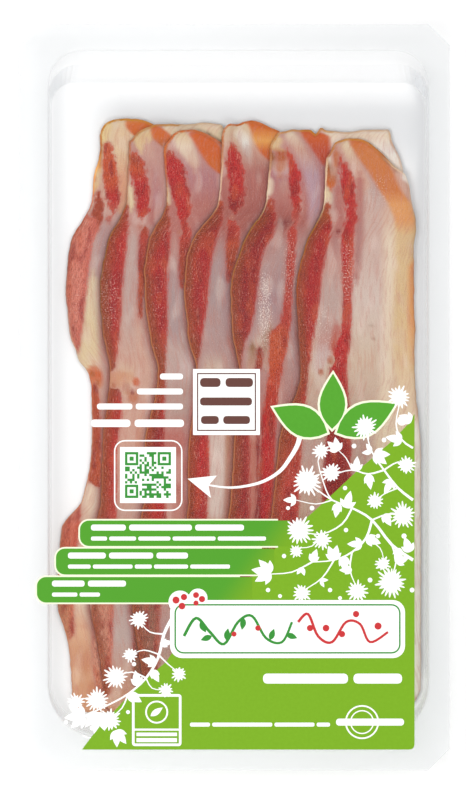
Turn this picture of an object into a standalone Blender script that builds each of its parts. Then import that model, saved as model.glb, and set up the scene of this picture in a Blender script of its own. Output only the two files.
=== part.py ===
"""A clear sealed tray of sliced pork belly, lying on its back with the film side up.

Six long slices lie shingled from left to right in a shallow thermoformed tray. Each one rests
on the floor and on the slices before it, and a flat film closes the tray on its flange.
The origin is under the middle of the pack, on the surface that it lies on: +X is to the right,
+Y to the slices' heads and +Z up. All sizes are in metres.
"""

import math
from collections import namedtuple

import bmesh
import bpy
import numpy as np
from mathutils import Vector

MM = 0.001

# The pack from above: a long rectangle with its four corners cut off.
PACK_WIDTH = 144.4 * MM
PACK_LENGTH = 250.0 * MM
CORNER_CUT = 7.2 * MM

# The tray, thermoformed from one clear sheet: its flange, the cavity's edge, the lip's
# rounding, a shallow step below it, the sloped wall and the fillet round the floor.
SHEET = 0.5 * MM
FLANGE_TOP = 12.5 * MM
CAVITY_LEFT = -62.7 * MM
CAVITY_RIGHT = 65.3 * MM
CAVITY_TOP = 117.0 * MM
CAVITY_BOTTOM = -115.0 * MM
HEAD_RADIUS = 12.0 * MM
FOOT_RADIUS = 19.0 * MM
LIP_RADIUS = 0.9 * MM
LIP_AT_SIDE = 0.5
STEP_DROP = 1.8 * MM
STEP_AT_HEAD = 4.6 * MM
STEP_AT_SIDE = 0.2 * MM
STEP_AT_FOOT = 1.2 * MM
STEP_TIGHTER = 2.0 * MM
SLOPE_AT_HEAD = 5.6 * MM
SLOPE_AT_SIDE = 0.4 * MM
SLOPE_AT_FOOT = 2.6 * MM
FLOOR_FILLET = 1.0 * MM
FLOOR_TIGHTER = 4.0 * MM
CORNER_STEPS = 8
FILLET_STEPS = 3
SHARP_ANGLE = math.radians(50)

# The lidding film lies on the flange.
FILM = 0.3 * MM
CLEARANCE = 0.3 * MM

# The slices.
SLICE = 1.5 * MM
SLICE_FOOT = -105.8 * MM
COLUMNS = 8
ROWS = 40
ROW_CROWDING = 0.55
DRAPE = 3.0 * MM
SLICE_GAP = 0.4 * MM
HEAD_ROUNDING = (4.4 * MM, 6.5 * MM)
LEFT_FOOT_ROUNDING = (5.0 * MM, 5.0 * MM)
RIGHT_FOOT_ROUNDING = (9.0 * MM, 10.0 * MM)
ROUND = 2
SHOULDER_POWER = 1.6
CELL = 1.0 * MM

# Heights along the pack at which the slices' edges were measured, from head to foot.
STATIONS = [y * MM for y in (82.8, 66.1, 51.0, 35.9, 20.8, 8.4, -14.3, -34.4, -44.5, -68.0, -84.7, -101.5)]

# Each slice: where its head ends, its left edge at the stations, its right edge at the head,
# the belly and the foot, and how far its right shoulder is cut away across and along.
Slice = namedtuple("Slice", "head left right shoulder")
SLICES = [
    Slice(
        93.6,
        (-45.1, -47.8, -54.1, -55.8, -54.6, -48.1, -47.8, -51.1, -58.1, -59.5, -55.5, -54.5),
        (-16.0, -16.0, -15.0),
        (17.5, 16.0),
    ),
    Slice(
        91.6,
        (-35.5, -36.2, -42.7, -45.1, -43.9, -41.7, -44.1, -44.7, -46.7, -48.4, -45.7, -43.7),
        (-1.8, -3.0, -2.0),
        (3.0, 8.0),
    ),
    Slice(
        89.2,
        (-23.6, -22.6, -29.0, -30.0, -28.5, -25.6, -29.0, -30.3, -32.0, -34.3, -32.3, -29.7),
        (9.5, 10.0, 12.0),
        (22.0, 29.0),
    ),
    Slice(
        92.9,
        (-4.2, -5.2, -14.6, -16.8, -15.6, -12.6, -14.2, -14.9, -16.3, -18.9, -16.9, -14.9),
        (26.0, 25.0, 28.0),
        (20.0, 29.0),
    ),
    Slice(
        89.9,
        (11.9, 10.9, 2.8, -1.2, -0.5, 1.8, 0.2, -1.2, -2.5, -4.2, -2.2, 0.5),
        (56.5, 48.0, 47.0),
        (5.0, 14.0),
    ),
    Slice(
        86.9,
        (30.7, 30.3, 24.0, 20.9, 21.6, 22.3, 15.2, 13.2, 11.9, 11.2, 12.6, 15.9),
        (60.2, 60.4, 62.6),
        (19.0, 29.0),
    ),
]
RIGHT_STATIONS = [y * MM for y in (60.0, 10.0, -20.0)]

# A closed rectangle with rounded or cut corners, at one height.
Ring = namedtuple("Ring", "left right bottom top head_radius foot_radius z")


def clear_scene():
    for obj in list(bpy.data.objects):
        bpy.data.objects.remove(obj)


def plain_material(name, colour, roughness, alpha=1.0):
    material = bpy.data.materials.new(name)
    material.use_nodes = True
    shader = material.node_tree.nodes["Principled BSDF"]
    shader.inputs["Base Color"].default_value = (*colour, 1.0)
    shader.inputs["Roughness"].default_value = roughness
    shader.inputs["Metallic"].default_value = 0.0
    shader.inputs["Alpha"].default_value = alpha
    return material


def add_object(name, data, material, collection):
    data.materials.append(material)
    obj = bpy.data.objects.new(name, data)
    collection.objects.link(obj)
    return obj


def add_smooth_mesh(name, mesh, material, collection):
    """The bmesh as an object, shaded smooth but for its edges."""
    data = bpy.data.meshes.new(name)
    mesh.to_mesh(data)
    mesh.free()
    data.shade_smooth()
    data.set_sharp_from_angle(angle=SHARP_ANGLE)
    return add_object(name, data, material, collection)


def cut_corners():
    """Where each corner's cut starts and ends, counter-clockwise from the top right."""
    right = PACK_WIDTH / 2
    top = PACK_LENGTH / 2
    return [
        ((right, top - CORNER_CUT), (right - CORNER_CUT, top)),
        ((-right + CORNER_CUT, top), (-right, top - CORNER_CUT)),
        ((-right, -top + CORNER_CUT), (-right + CORNER_CUT, -top)),
        ((right - CORNER_CUT, -top), (right, -top + CORNER_CUT)),
    ]


def flange_points():
    """The pack's outline, with as many points to a cut corner as a rounded one has."""
    points = []
    for start, end in cut_corners():
        for step in range(CORNER_STEPS + 1):
            x, y = Vector(start).lerp(Vector(end), step / CORNER_STEPS)
            points.append((x, y, FLANGE_TOP))
    return points


def ring_points(ring):
    """The ring's corners as arcs, counter-clockwise from the top right."""
    corners = [
        (ring.right, ring.top, ring.head_radius),
        (ring.left, ring.top, ring.head_radius),
        (ring.left, ring.bottom, ring.foot_radius),
        (ring.right, ring.bottom, ring.foot_radius),
    ]
    points = []
    for quarter, (x, y, radius) in enumerate(corners):
        centre_x = x - math.copysign(radius, x)
        centre_y = y - math.copysign(radius, y)
        for step in range(CORNER_STEPS + 1):
            angle = math.pi / 2 * (quarter + step / CORNER_STEPS)
            points.append((centre_x + radius * math.cos(angle), centre_y + radius * math.sin(angle), ring.z))
    return points


def cavity_ring(side, head, foot, tighter, z):
    """The cavity's edge drawn in by side, head and foot, with tighter corners."""
    return Ring(
        left=CAVITY_LEFT + side,
        right=CAVITY_RIGHT - side,
        bottom=CAVITY_BOTTOM + foot,
        top=CAVITY_TOP - head,
        head_radius=HEAD_RADIUS - tighter,
        foot_radius=FOOT_RADIUS - tighter,
        z=z,
    )


def cavity_rings():
    """From the flange over the lip, the step and the sloped wall to the floor."""
    rings = []
    for step in range(FILLET_STEPS + 1):
        angle = math.pi / 2 * step / FILLET_STEPS
        inward = LIP_RADIUS * math.sin(angle)
        z = FLANGE_TOP - LIP_RADIUS * (1 - math.cos(angle))
        rings.append(cavity_ring(inward * LIP_AT_SIDE, inward, inward, inward, z))
    side = LIP_RADIUS * LIP_AT_SIDE + STEP_AT_SIDE
    head = LIP_RADIUS + STEP_AT_HEAD
    foot = LIP_RADIUS + STEP_AT_FOOT
    rings.append(cavity_ring(side, head, foot, STEP_TIGHTER, FLANGE_TOP - STEP_DROP))
    side += SLOPE_AT_SIDE
    head += SLOPE_AT_HEAD
    foot += SLOPE_AT_FOOT
    for step in range(FILLET_STEPS + 1):
        angle = math.pi / 2 * step / FILLET_STEPS
        inward = FLOOR_FILLET * (1 - math.cos(angle))
        z = SHEET + FLOOR_FILLET * (1 - math.sin(angle))
        rings.append(cavity_ring(side + inward, head + inward, foot + inward, FLOOR_TIGHTER + inward, z))
    inward = 2 * FLOOR_FILLET
    rings.append(cavity_ring(side + inward, head + inward, foot + inward, FLOOR_TIGHTER + inward, SHEET))
    return rings


def add_tray(collection):
    """The sheet's upper face from the flange's rim to the floor, thickened downwards."""
    mesh = bmesh.new()
    loops = [flange_points()] + [ring_points(ring) for ring in cavity_rings()]
    loops = [[mesh.verts.new(point) for point in loop] for loop in loops]
    for outer, inner in zip(loops, loops[1:]):
        for i in range(len(outer)):
            following = (i + 1) % len(outer)
            mesh.faces.new((outer[i], outer[following], inner[following], inner[i]))
    mesh.faces.new(loops[-1])
    clear = plain_material("clear_tray", (0.93, 0.95, 0.97), 0.08, 0.25)
    tray = add_smooth_mesh("tray", mesh, clear, collection)
    solidify = tray.modifiers.new("sheet", "SOLIDIFY")
    solidify.thickness = SHEET
    solidify.offset = -1
    solidify.use_even_offset = True


def add_lid_film(collection):
    outline = [point for cut in cut_corners() for point in cut]
    curve = bpy.data.curves.new("lid_film", "CURVE")
    curve.dimensions = "2D"
    curve.fill_mode = "BOTH"
    curve.extrude = FILM / 2
    spline = curve.splines.new("POLY")
    spline.points.add(len(outline) - 1)
    for point, (x, y) in zip(spline.points, outline):
        point.co = (x, y, 0, 1)
    spline.use_cyclic_u = True
    clear = plain_material("clear_film", (0.95, 0.96, 0.97), 0.1, 0.2)
    film = add_object("lid_film", curve, clear, collection)
    film.location.z = FLANGE_TOP + CLEARANCE + FILM / 2


def smooth_through(stations, values, y):
    """A curve through values at stations that run from head to foot, with no overshoot, at y."""
    xs = -np.asarray(stations)
    values = np.asarray(values)
    steps = np.diff(values) / np.diff(xs)
    slopes = np.zeros(len(values))
    same_way = steps[:-1] * steps[1:] > 0
    slopes[1:-1][same_way] = 2 / (1 / steps[:-1][same_way] + 1 / steps[1:][same_way])
    at = np.clip(-np.asarray(y), xs[0], xs[-1])
    i = np.clip(np.searchsorted(xs, at) - 1, 0, len(xs) - 2)
    span = xs[i + 1] - xs[i]
    t = (at - xs[i]) / span
    start = (1 + 2 * t) * (1 - t) ** 2 * values[i] + t * (1 - t) ** 2 * span * slopes[i]
    end = t**2 * (3 - 2 * t) * values[i + 1] - t**2 * (1 - t) * span * slopes[i + 1]
    return start + end


def rounding(depth, across, along, power):
    """How far an edge draws in at a depth from the end, for a corner of these sizes."""
    t = np.clip(1 - depth / along, 0, 1)
    return across * (1 - (1 - t**power) ** (1 / power))


def edges(shape, y):
    """The slice's left and right edges at the heights y."""
    from_head = shape.head * MM - y
    from_foot = y - SLICE_FOOT
    left = smooth_through(STATIONS, np.array(shape.left) * MM, y)
    left = left + rounding(from_head, *HEAD_ROUNDING, ROUND)
    left = left + rounding(from_foot, *LEFT_FOOT_ROUNDING, ROUND)
    across, along = (size * MM for size in shape.shoulder)
    right = smooth_through(RIGHT_STATIONS, np.array(shape.right) * MM, y)
    right = right - rounding(from_head, across, along, SHOULDER_POWER)
    right = right - rounding(from_foot, *RIGHT_FOOT_ROUNDING, ROUND)
    return left, right


def row_heights(shape):
    """The heights of the mesh's rows, closer together near both ends."""
    share = np.linspace(0, 1, ROWS + 1)
    share = share - ROW_CROWDING * np.sin(2 * math.pi * share) / (2 * math.pi)
    return shape.head * MM + (SLICE_FOOT - shape.head * MM) * share


class Pile:
    """The height of what lies in the tray, on a grid of cells."""

    def __init__(self):
        self.x = np.arange(CAVITY_LEFT, CAVITY_RIGHT, CELL)
        self.y = np.arange(CAVITY_BOTTOM, CAVITY_TOP, CELL)
        self.top = np.full((len(self.y), len(self.x)), SHEET)

    def spread(self, field, combine):
        """Each cell combined with the cells within the drape's reach, along and across."""
        reach = round(DRAPE / CELL)
        for axis, count in enumerate(field.shape):
            margin = [(0, 0), (0, 0)]
            margin[axis] = (reach, reach)
            padded = np.pad(field, margin, mode="edge")
            moved = [np.take(padded, range(i, i + count), axis) for i in range(2 * reach + 1)]
            field = combine(moved, axis=0)
        return field

    def draped(self, x, y):
        """The height of a soft sheet laid over the pile, at points."""
        cover = self.spread(self.spread(self.top, np.max), np.mean)
        j = ((x - self.x[0]) / CELL).clip(0, len(self.x) - 1.001)
        i = ((y - self.y[0]) / CELL).clip(0, len(self.y) - 1.001)
        j0 = j.astype(int)
        i0 = i.astype(int)
        near = cover[i0, j0] * (1 - j + j0) + cover[i0, j0 + 1] * (j - j0)
        far = cover[i0 + 1, j0] * (1 - j + j0) + cover[i0 + 1, j0 + 1] * (j - j0)
        return near * (1 - i + i0) + far * (i - i0)

    def under(self, shape, heights):
        """The cells under a slice, and the row and column of the slice over each."""
        x, y = np.meshgrid(self.x, self.y)
        head = shape.head * MM
        left, right = edges(shape, np.clip(y, SLICE_FOOT, head))
        cells = (x > left - CELL) & (x < right + CELL) & (y < head + CELL) & (y > SLICE_FOOT - CELL)
        column = (x - left)[cells] / (right - left)[cells] * COLUMNS
        row = np.interp(-y[cells], -heights, np.arange(ROWS + 1))
        return cells, row.clip(0, ROWS - 1e-6), column.clip(0, COLUMNS - 1e-6)


def triangle_height(z, row, column):
    """The height of the slice's triangles, split from each square's first corner to its last."""
    i = row.astype(int)
    j = column.astype(int)
    down = row - i
    across = column - j
    first = z[i, j]
    last = z[i + 1, j + 1]
    by_column = first + (z[i, j + 1] - first) * across + (last - z[i, j + 1]) * down
    by_row = first + (z[i + 1, j] - first) * down + (last - z[i + 1, j]) * across
    return np.where(across > down, by_column, by_row)


def lay_slice(pile, shape):
    """The points of the slice's underside, in rows, laid on the pile, which grows by the slice."""
    heights = row_heights(shape)
    left, right = edges(shape, heights)
    x = left[:, None] + np.outer(right - left, np.linspace(0, 1, COLUMNS + 1))
    y = np.repeat(heights[:, None], COLUMNS + 1, axis=1)
    z = pile.draped(x, y) + SLICE_GAP

    # Where a triangle would dip nearer to the pile than the gap, its corners are lifted.
    cells, row, column = pile.under(shape, heights)
    lacking = np.maximum(pile.top[cells] + SLICE_GAP - triangle_height(z, row, column), 0)
    lift = np.zeros_like(z)
    for down in (0, 1):
        for across in (0, 1):
            np.maximum.at(lift, (row.astype(int) + down, column.astype(int) + across), lacking)
    z = z + lift
    pile.top[cells] = np.maximum(pile.top[cells], triangle_height(z, row, column) + SLICE)
    return np.stack([x, y, z], axis=-1)


def grid_place(vertex):
    """The row and column of a vertex of the flat grid, counted from its top left."""
    return round((1 - vertex.co.y) / 2 * ROWS), round((vertex.co.x + 1) / 2 * COLUMNS)


def add_slice(name, points, material, collection):
    """A grid bent to the slice's rows and columns, then drawn up by the slice's thickness."""
    mesh = bmesh.new()
    bmesh.ops.create_grid(mesh, x_segments=COLUMNS, y_segments=ROWS, size=1)
    for face in list(mesh.faces):
        corners = sorted(face.verts, key=grid_place)
        bmesh.utils.face_split(face, corners[0], corners[-1])
    for vertex in mesh.verts:
        vertex.co = points[grid_place(vertex)]
    drawn = bmesh.ops.extrude_face_region(mesh, geom=mesh.faces[:])
    upper = [part for part in drawn["geom"] if isinstance(part, bmesh.types.BMVert)]
    bmesh.ops.translate(mesh, verts=upper, vec=(0, 0, SLICE))
    bmesh.ops.recalc_face_normals(mesh, faces=mesh.faces[:])
    add_smooth_mesh(name, mesh, material, collection)


def build():
    clear_scene()
    collection = bpy.data.collections.new("bacon_pack")
    bpy.context.scene.collection.children.link(collection)
    add_tray(collection)
    pile = Pile()
    for number, shape in enumerate(SLICES, start=1):
        meat = plain_material(f"cured_pork_{number}", (0.55, 0.16, 0.12), 0.45)
        add_slice(f"slice_{number}", lay_slice(pile, shape), meat, collection)
    add_lid_film(collection)


build()
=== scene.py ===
import math
from collections import namedtuple

import bmesh
import bpy
import numpy as np
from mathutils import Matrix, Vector, noise


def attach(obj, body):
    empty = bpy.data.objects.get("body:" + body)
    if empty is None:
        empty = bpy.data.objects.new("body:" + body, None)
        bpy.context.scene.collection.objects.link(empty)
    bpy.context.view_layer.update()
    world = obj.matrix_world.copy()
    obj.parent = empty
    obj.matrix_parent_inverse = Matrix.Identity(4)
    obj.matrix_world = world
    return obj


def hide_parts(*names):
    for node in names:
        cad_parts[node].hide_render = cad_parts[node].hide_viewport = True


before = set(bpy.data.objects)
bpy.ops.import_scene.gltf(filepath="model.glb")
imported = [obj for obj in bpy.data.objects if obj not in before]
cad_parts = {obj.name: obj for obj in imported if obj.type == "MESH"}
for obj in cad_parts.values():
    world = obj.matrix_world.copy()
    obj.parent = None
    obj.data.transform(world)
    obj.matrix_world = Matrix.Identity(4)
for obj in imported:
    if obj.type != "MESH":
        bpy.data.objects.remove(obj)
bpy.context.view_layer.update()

MM = 0.001

# The picture's frame: 467 by 799 pixels from straight above. Places on the pack's face are
# given in those pixels, x to the right and y down.
PIXEL = 0.3351 * MM
MIDDLE_X = 234.5
MIDDLE_Y = 397.2
IMAGE_WIDTH = 467
IMAGE_HEIGHT = 799

# The tray and the film, as the CAD has them.
SHEET = 0.5 * MM
FLANGE_TOP = 12.5 * MM
FILM_TOP = 13.1 * MM
CAVITY_LEFT = -62.7 * MM
CAVITY_RIGHT = 65.3 * MM
CAVITY_TOP = 117.0 * MM
CAVITY_BOTTOM = -115.0 * MM

# The slices' outlines and the rule that lays them, as the CAD has them.
SLICE = 1.5 * MM
SLICE_FOOT = -105.8 * MM
DRAPE = 3.0 * MM
SLICE_GAP = 0.4 * MM
HEAD_ROUNDING = (4.4 * MM, 6.5 * MM)
LEFT_FOOT_ROUNDING = (5.0 * MM, 5.0 * MM)
RIGHT_FOOT_ROUNDING = (9.0 * MM, 10.0 * MM)
ROUND = 2
SHOULDER_POWER = 1.6
STATIONS = [y * MM for y in (82.8, 66.1, 51.0, 35.9, 20.8, 8.4, -14.3, -34.4, -44.5, -68.0, -84.7, -101.5)]
RIGHT_STATIONS = [y * MM for y in (60.0, 10.0, -20.0)]

Slice = namedtuple("Slice", "head left right shoulder")
SLICES = [
    Slice(93.6, (-45.1, -47.8, -54.1, -55.8, -54.6, -48.1, -47.8, -51.1, -58.1, -59.5, -55.5, -54.5),
          (-16.0, -16.0, -15.0), (17.5, 16.0)),
    Slice(91.6, (-35.5, -36.2, -42.7, -45.1, -43.9, -41.7, -44.1, -44.7, -46.7, -48.4, -45.7, -43.7),
          (-1.8, -3.0, -2.0), (3.0, 8.0)),
    Slice(89.2, (-23.6, -22.6, -29.0, -30.0, -28.5, -25.6, -29.0, -30.3, -32.0, -34.3, -32.3, -29.7),
          (9.5, 10.0, 12.0), (22.0, 29.0)),
    Slice(92.9, (-4.2, -5.2, -14.6, -16.8, -15.6, -12.6, -14.2, -14.9, -16.3, -18.9, -16.9, -14.9),
          (26.0, 25.0, 28.0), (20.0, 29.0)),
    Slice(89.9, (11.9, 10.9, 2.8, -1.2, -0.5, 1.8, 0.2, -1.2, -2.5, -4.2, -2.2, 0.5),
          (56.5, 48.0, 47.0), (5.0, 14.0)),
    Slice(86.9, (30.7, 30.3, 24.0, 20.9, 21.6, 22.3, 15.2, 13.2, 11.9, 11.2, 12.6, 15.9),
          (60.2, 60.4, 62.6), (19.0, 29.0)),
]

# The grids: the pile's cells, and each slice's points, closer together at its head, foot and left
# edge.
CELL = 0.5 * MM
COLUMNS = 62
ROWS = 300
COLUMN_CROWDING = 0.45
ROW_CROWDING = 0.45

# How the soft slice differs from a flat sheet: how far its faces sink under the plain sheet's, how
# far its rim is rounded above and below, and how far the rim's middle stands out.
SINK = 0.16
SINK_LIMIT = 0.6
LEAN_SINK = 0.12
LEAN_SINK_EDGE = (-0.5, 0.8)
UPPER_ROUNDING = (0.55 * MM, 1.3 * MM)
LOWER_ROUNDING = (0.25 * MM, 0.9 * MM)
RIM_BULGE = 0.15
# Uneven forms: how far they go and the size of their waves. The noise on each slice is its own, by
# its number times a step.
SEED_STEP = 7.3
STRAND_STEP = 11.0
LEFT_RAGS = ((0.22 * MM, 3.1 * MM), (0.12 * MM, 1.1 * MM))
RIGHT_RAGS = (0.25 * MM, 2.7 * MM)
HEAD_RAGS = (0.3 * MM, 2.4 * MM)
HEAD_RAGS_END = 6.0 * MM
RELIEF = ((0.10, 5.0 * MM), (0.08, 1.6 * MM))
SMALL_RELIEF_SCALE = (1.0, 0.35)

# Heights at which the slices' looks change, in pixels, and over how far each change goes. The last
# change is sudden.
WIDE_LINES_END = (190, 8 * MM)
PAINTED_LIGHT_LINES_END = (215, 8 * MM)
RAGS_IN_LEAN_END = (240, 10 * MM)
SHADE_STARTS = (185, 14 * MM)
DEEP_SHADE_STARTS = (290, 20 * MM)
BROWN_EDGE_STARTS = (190, 12 * MM)
LOWER_HALF_STARTS = (395, 18 * MM)
HEAD_LINE_END = 175

# Noise over each slice: the size of its waves, the scale of its points across and along, its seed.
PATCHES = (3.4 * MM, (1.0, 0.42), 31.0)
CLOUDS = (2.2 * MM, (1.0, 0.30), 47.0)
LARGE_RAGS = (2.1 * MM, (1.0, 1.0), 61.0)
SMALL_RAGS = (0.9 * MM, (1.0, 1.0), 73.0)
SMALL_RAGS_SHARE = 0.6
# How far the lean's border is ragged everywhere, and how much more at the heads, in millimetres.
RAGS_IN_LEAN = 0.12
MORE_RAGS_IN_LEAN = 0.88

# A tint of the meat: its tone and strength, and the values at which it begins and is full.
Tint = namedtuple("Tint", "tone strength start full")
ORANGE_PATCHES = Tint("orange_lean", 0.45, 0.08, 0.45)
DEEP_CLOUDS = Tint("deep", 0.65, 0.08, 0.45)
# Pale patches on the fat are painted sheen of its moist surface.
PAINTED_SHEEN_PATCHES = Tint("painted_sheen", 0.28, 0.10, 0.50)
ROSE_CLOUDS = Tint("rose", 0.16, 0.10, 0.50)
ROSE_BORDER = Tint("rose", 0.35, -1.6, 0.2)
PALER_EDGE = Tint("pink_lean", 0.45, 2.6 * MM, 0.2 * MM)
BROWN_EDGE = Tint("olive_lean", 0.85, 4.4 * MM, 0.5 * MM)
SHADED_FAT = Tint("shade", 1.0, 3.8 * MM, 0.4 * MM)
BROWN_FAT = Tint("brown_lean", 0.5, 2.2 * MM, 0.4 * MM)
FAT_AT_CONTACT = Tint("shadow_brown", 0.5, 1.6 * MM, 0.2 * MM)
LEAN_AT_CONTACT = Tint("shadow_brown", 0.45, 1.5 * MM, 0.2 * MM)
# How far the patches and clouds move the browned edge and the brown fat.
PATCHES_MOVE_EDGE = 1.6 * MM
CLOUDS_MOVE_FAT = 1.4 * MM
# The first slice's edge browns less. Yellow fat, by its red less its blue, takes no patches.
FIRST_EDGE = 0.3
YELLOW_FAT = (0.38, 0.50)
# How dark the fat is beside the next slice, and how much darker far below.
SHADE = 0.35
DEEPER_SHADE = 0.25

# A band's ends taper over so many times its half width, within limits, and stay a little blunt.
TAPER = 1.3
TAPER_LIMITS = (1.0 * MM, 4.0 * MM)
BLUNT_END = 0.02
# A band of lean that is wider than this is paler at its right edge.
WIDE_BAND = 6 * MM
# How deep in a band of lean its tone begins and is full, in millimetres, and the depth with no band.
LEAN_TONE_EDGE = (-2.0, 0.0)
FAR_FROM_LEAN = -10.0
# Where a spot begins and is full, in shares of its reach, and how far it pushes lean away.
SPOT_EDGE = (1.3, 0.5)
SPOT_PUSH = 4

# The moist surface and the film add this much light to each tone of the meat, so its own colour has
# less, but never less than the darkest.
VEIL = 0.036
DARKEST = 0.004
# Painted light: how much brighter the slices' lower half, under the print, is made against the shade there.
LOWER_HALF_PAINTED_LIGHT = 0.04

# The tones of cured belly: rind, fat, lean and dried spots, with tones of painted shade and painted sheen
# among them, in display values.
TONES = {
    "rind_gold": (226, 160, 88), "rind_amber": (208, 108, 28), "rind_peach": (224, 158, 104),
    "yellow": (224, 200, 160), "lilac": (190, 142, 136), "head_orange": (200, 92, 62),
    "dried_lean": (182, 96, 44), "rind_orange": (204, 98, 42), "rind_red": (188, 80, 56),
    "rind_brown": (157, 96, 62), "cream": (224, 202, 168), "pale": (229, 208, 184),
    "tan": (220, 188, 144), "rim_pale": (238, 230, 220), "pink_cream": (208, 166, 148),
    "pink": (194, 146, 136), "rose": (186, 118, 108), "lavender": (182, 148, 144),
    "mauve": (178, 128, 122), "glisten": (194, 165, 156), "grey_fat": (188, 158, 148),
    "salmon": (220, 138, 120), "red": (190, 54, 50), "lean": (174, 50, 42), "deep": (150, 34, 30),
    "dark": (134, 54, 44), "orange_lean": (200, 98, 68), "brown_lean": (168, 80, 60),
    "pink_lean": (190, 80, 70), "head_red": (190, 44, 30), "pit": (184, 116, 100),
    "dried": (176, 92, 40), "olive": (142, 100, 66), "olive_lean": (148, 82, 54),
    "shade": (150, 116, 118), "brown": (138, 98, 77), "ochre": (176, 122, 58),
    "line_gold": (194, 126, 86), "shadow_brown": (146, 94, 82), "soft_fat": (214, 193, 181),
    "soft_tan": (210, 186, 164), "painted_sheen": (236, 214, 202), "foot_orange": (208, 146, 112),
    "rust": (176, 98, 52), "amber": (210, 104, 24), "foot_lean": (206, 148, 124),
    "foot_brown": (154, 112, 94), "caramel": (186, 134, 100), "soft_grey": (190, 166, 158),
    "soft_yellow": (228, 202, 148), "violet": (168, 136, 138), "stripe_lilac": (188, 154, 162),
    "white_fat": (206, 182, 176), "rust_tan": (192, 114, 78), "foot_light": (222, 178, 146),
    "rind_deep": (206, 124, 74), "head_cream": (224, 192, 156), "head_peach": (216, 160, 128),
    "rose_pink": (182, 116, 108), "stripe_mauve": (182, 128, 130), "dull_tan": (166, 130, 110),
    "strip_grey": (176, 150, 147), "foot_mid": (208, 154, 120), "rose_dark": (168, 100, 92),
    "shade_rose": (144, 84, 80), "soft_rose": (206, 174, 162), "lilac_grey": (184, 150, 144),
}

# Tones that the meat's material mixes in.
DARK_FIBRE = (0.55, 0.34, 0.30, 1.0)
LEAN_SPECK = (220, 88, 62)
FAT_THREAD = (218, 160, 140)
PINK_CLOUD = (192, 118, 102)
PALE_FIBRE = (226, 206, 194)
# The white of the painted glints, which stand in for light on the moist surface.
PAINTED_GLINT = (240, 220, 208)

# A band of fat: how soft its edges are in pixels, and its rows from head to foot.
Fat = namedtuple("Fat", "softness rows")
# A band of lean: its rows from head to foot.
Lean = namedtuple("Lean", "rows")
# A spot of fat: its middle, how far it reaches across and along, its tone and its strength.
Spot = namedtuple("Spot", "x y across along tone strength")
# A spot of painted sheen, where white specks of painted glint show: its middle, how far it reaches and its
# strength.
PaintedSheenSpot = namedtuple("PaintedSheenSpot", "x y across along strength")


def rows_of(text):
    """Rows of numbers and names, written with commas between the rows."""
    rows = [row.split() for row in text.split(",")]
    return [[word if word[0].isalpha() else float(word) for word in row] for row in rows]


def fat(softness, rows):
    return Fat(softness, rows_of(rows))


def lean(rows):
    return Lean(rows_of(rows))


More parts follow.
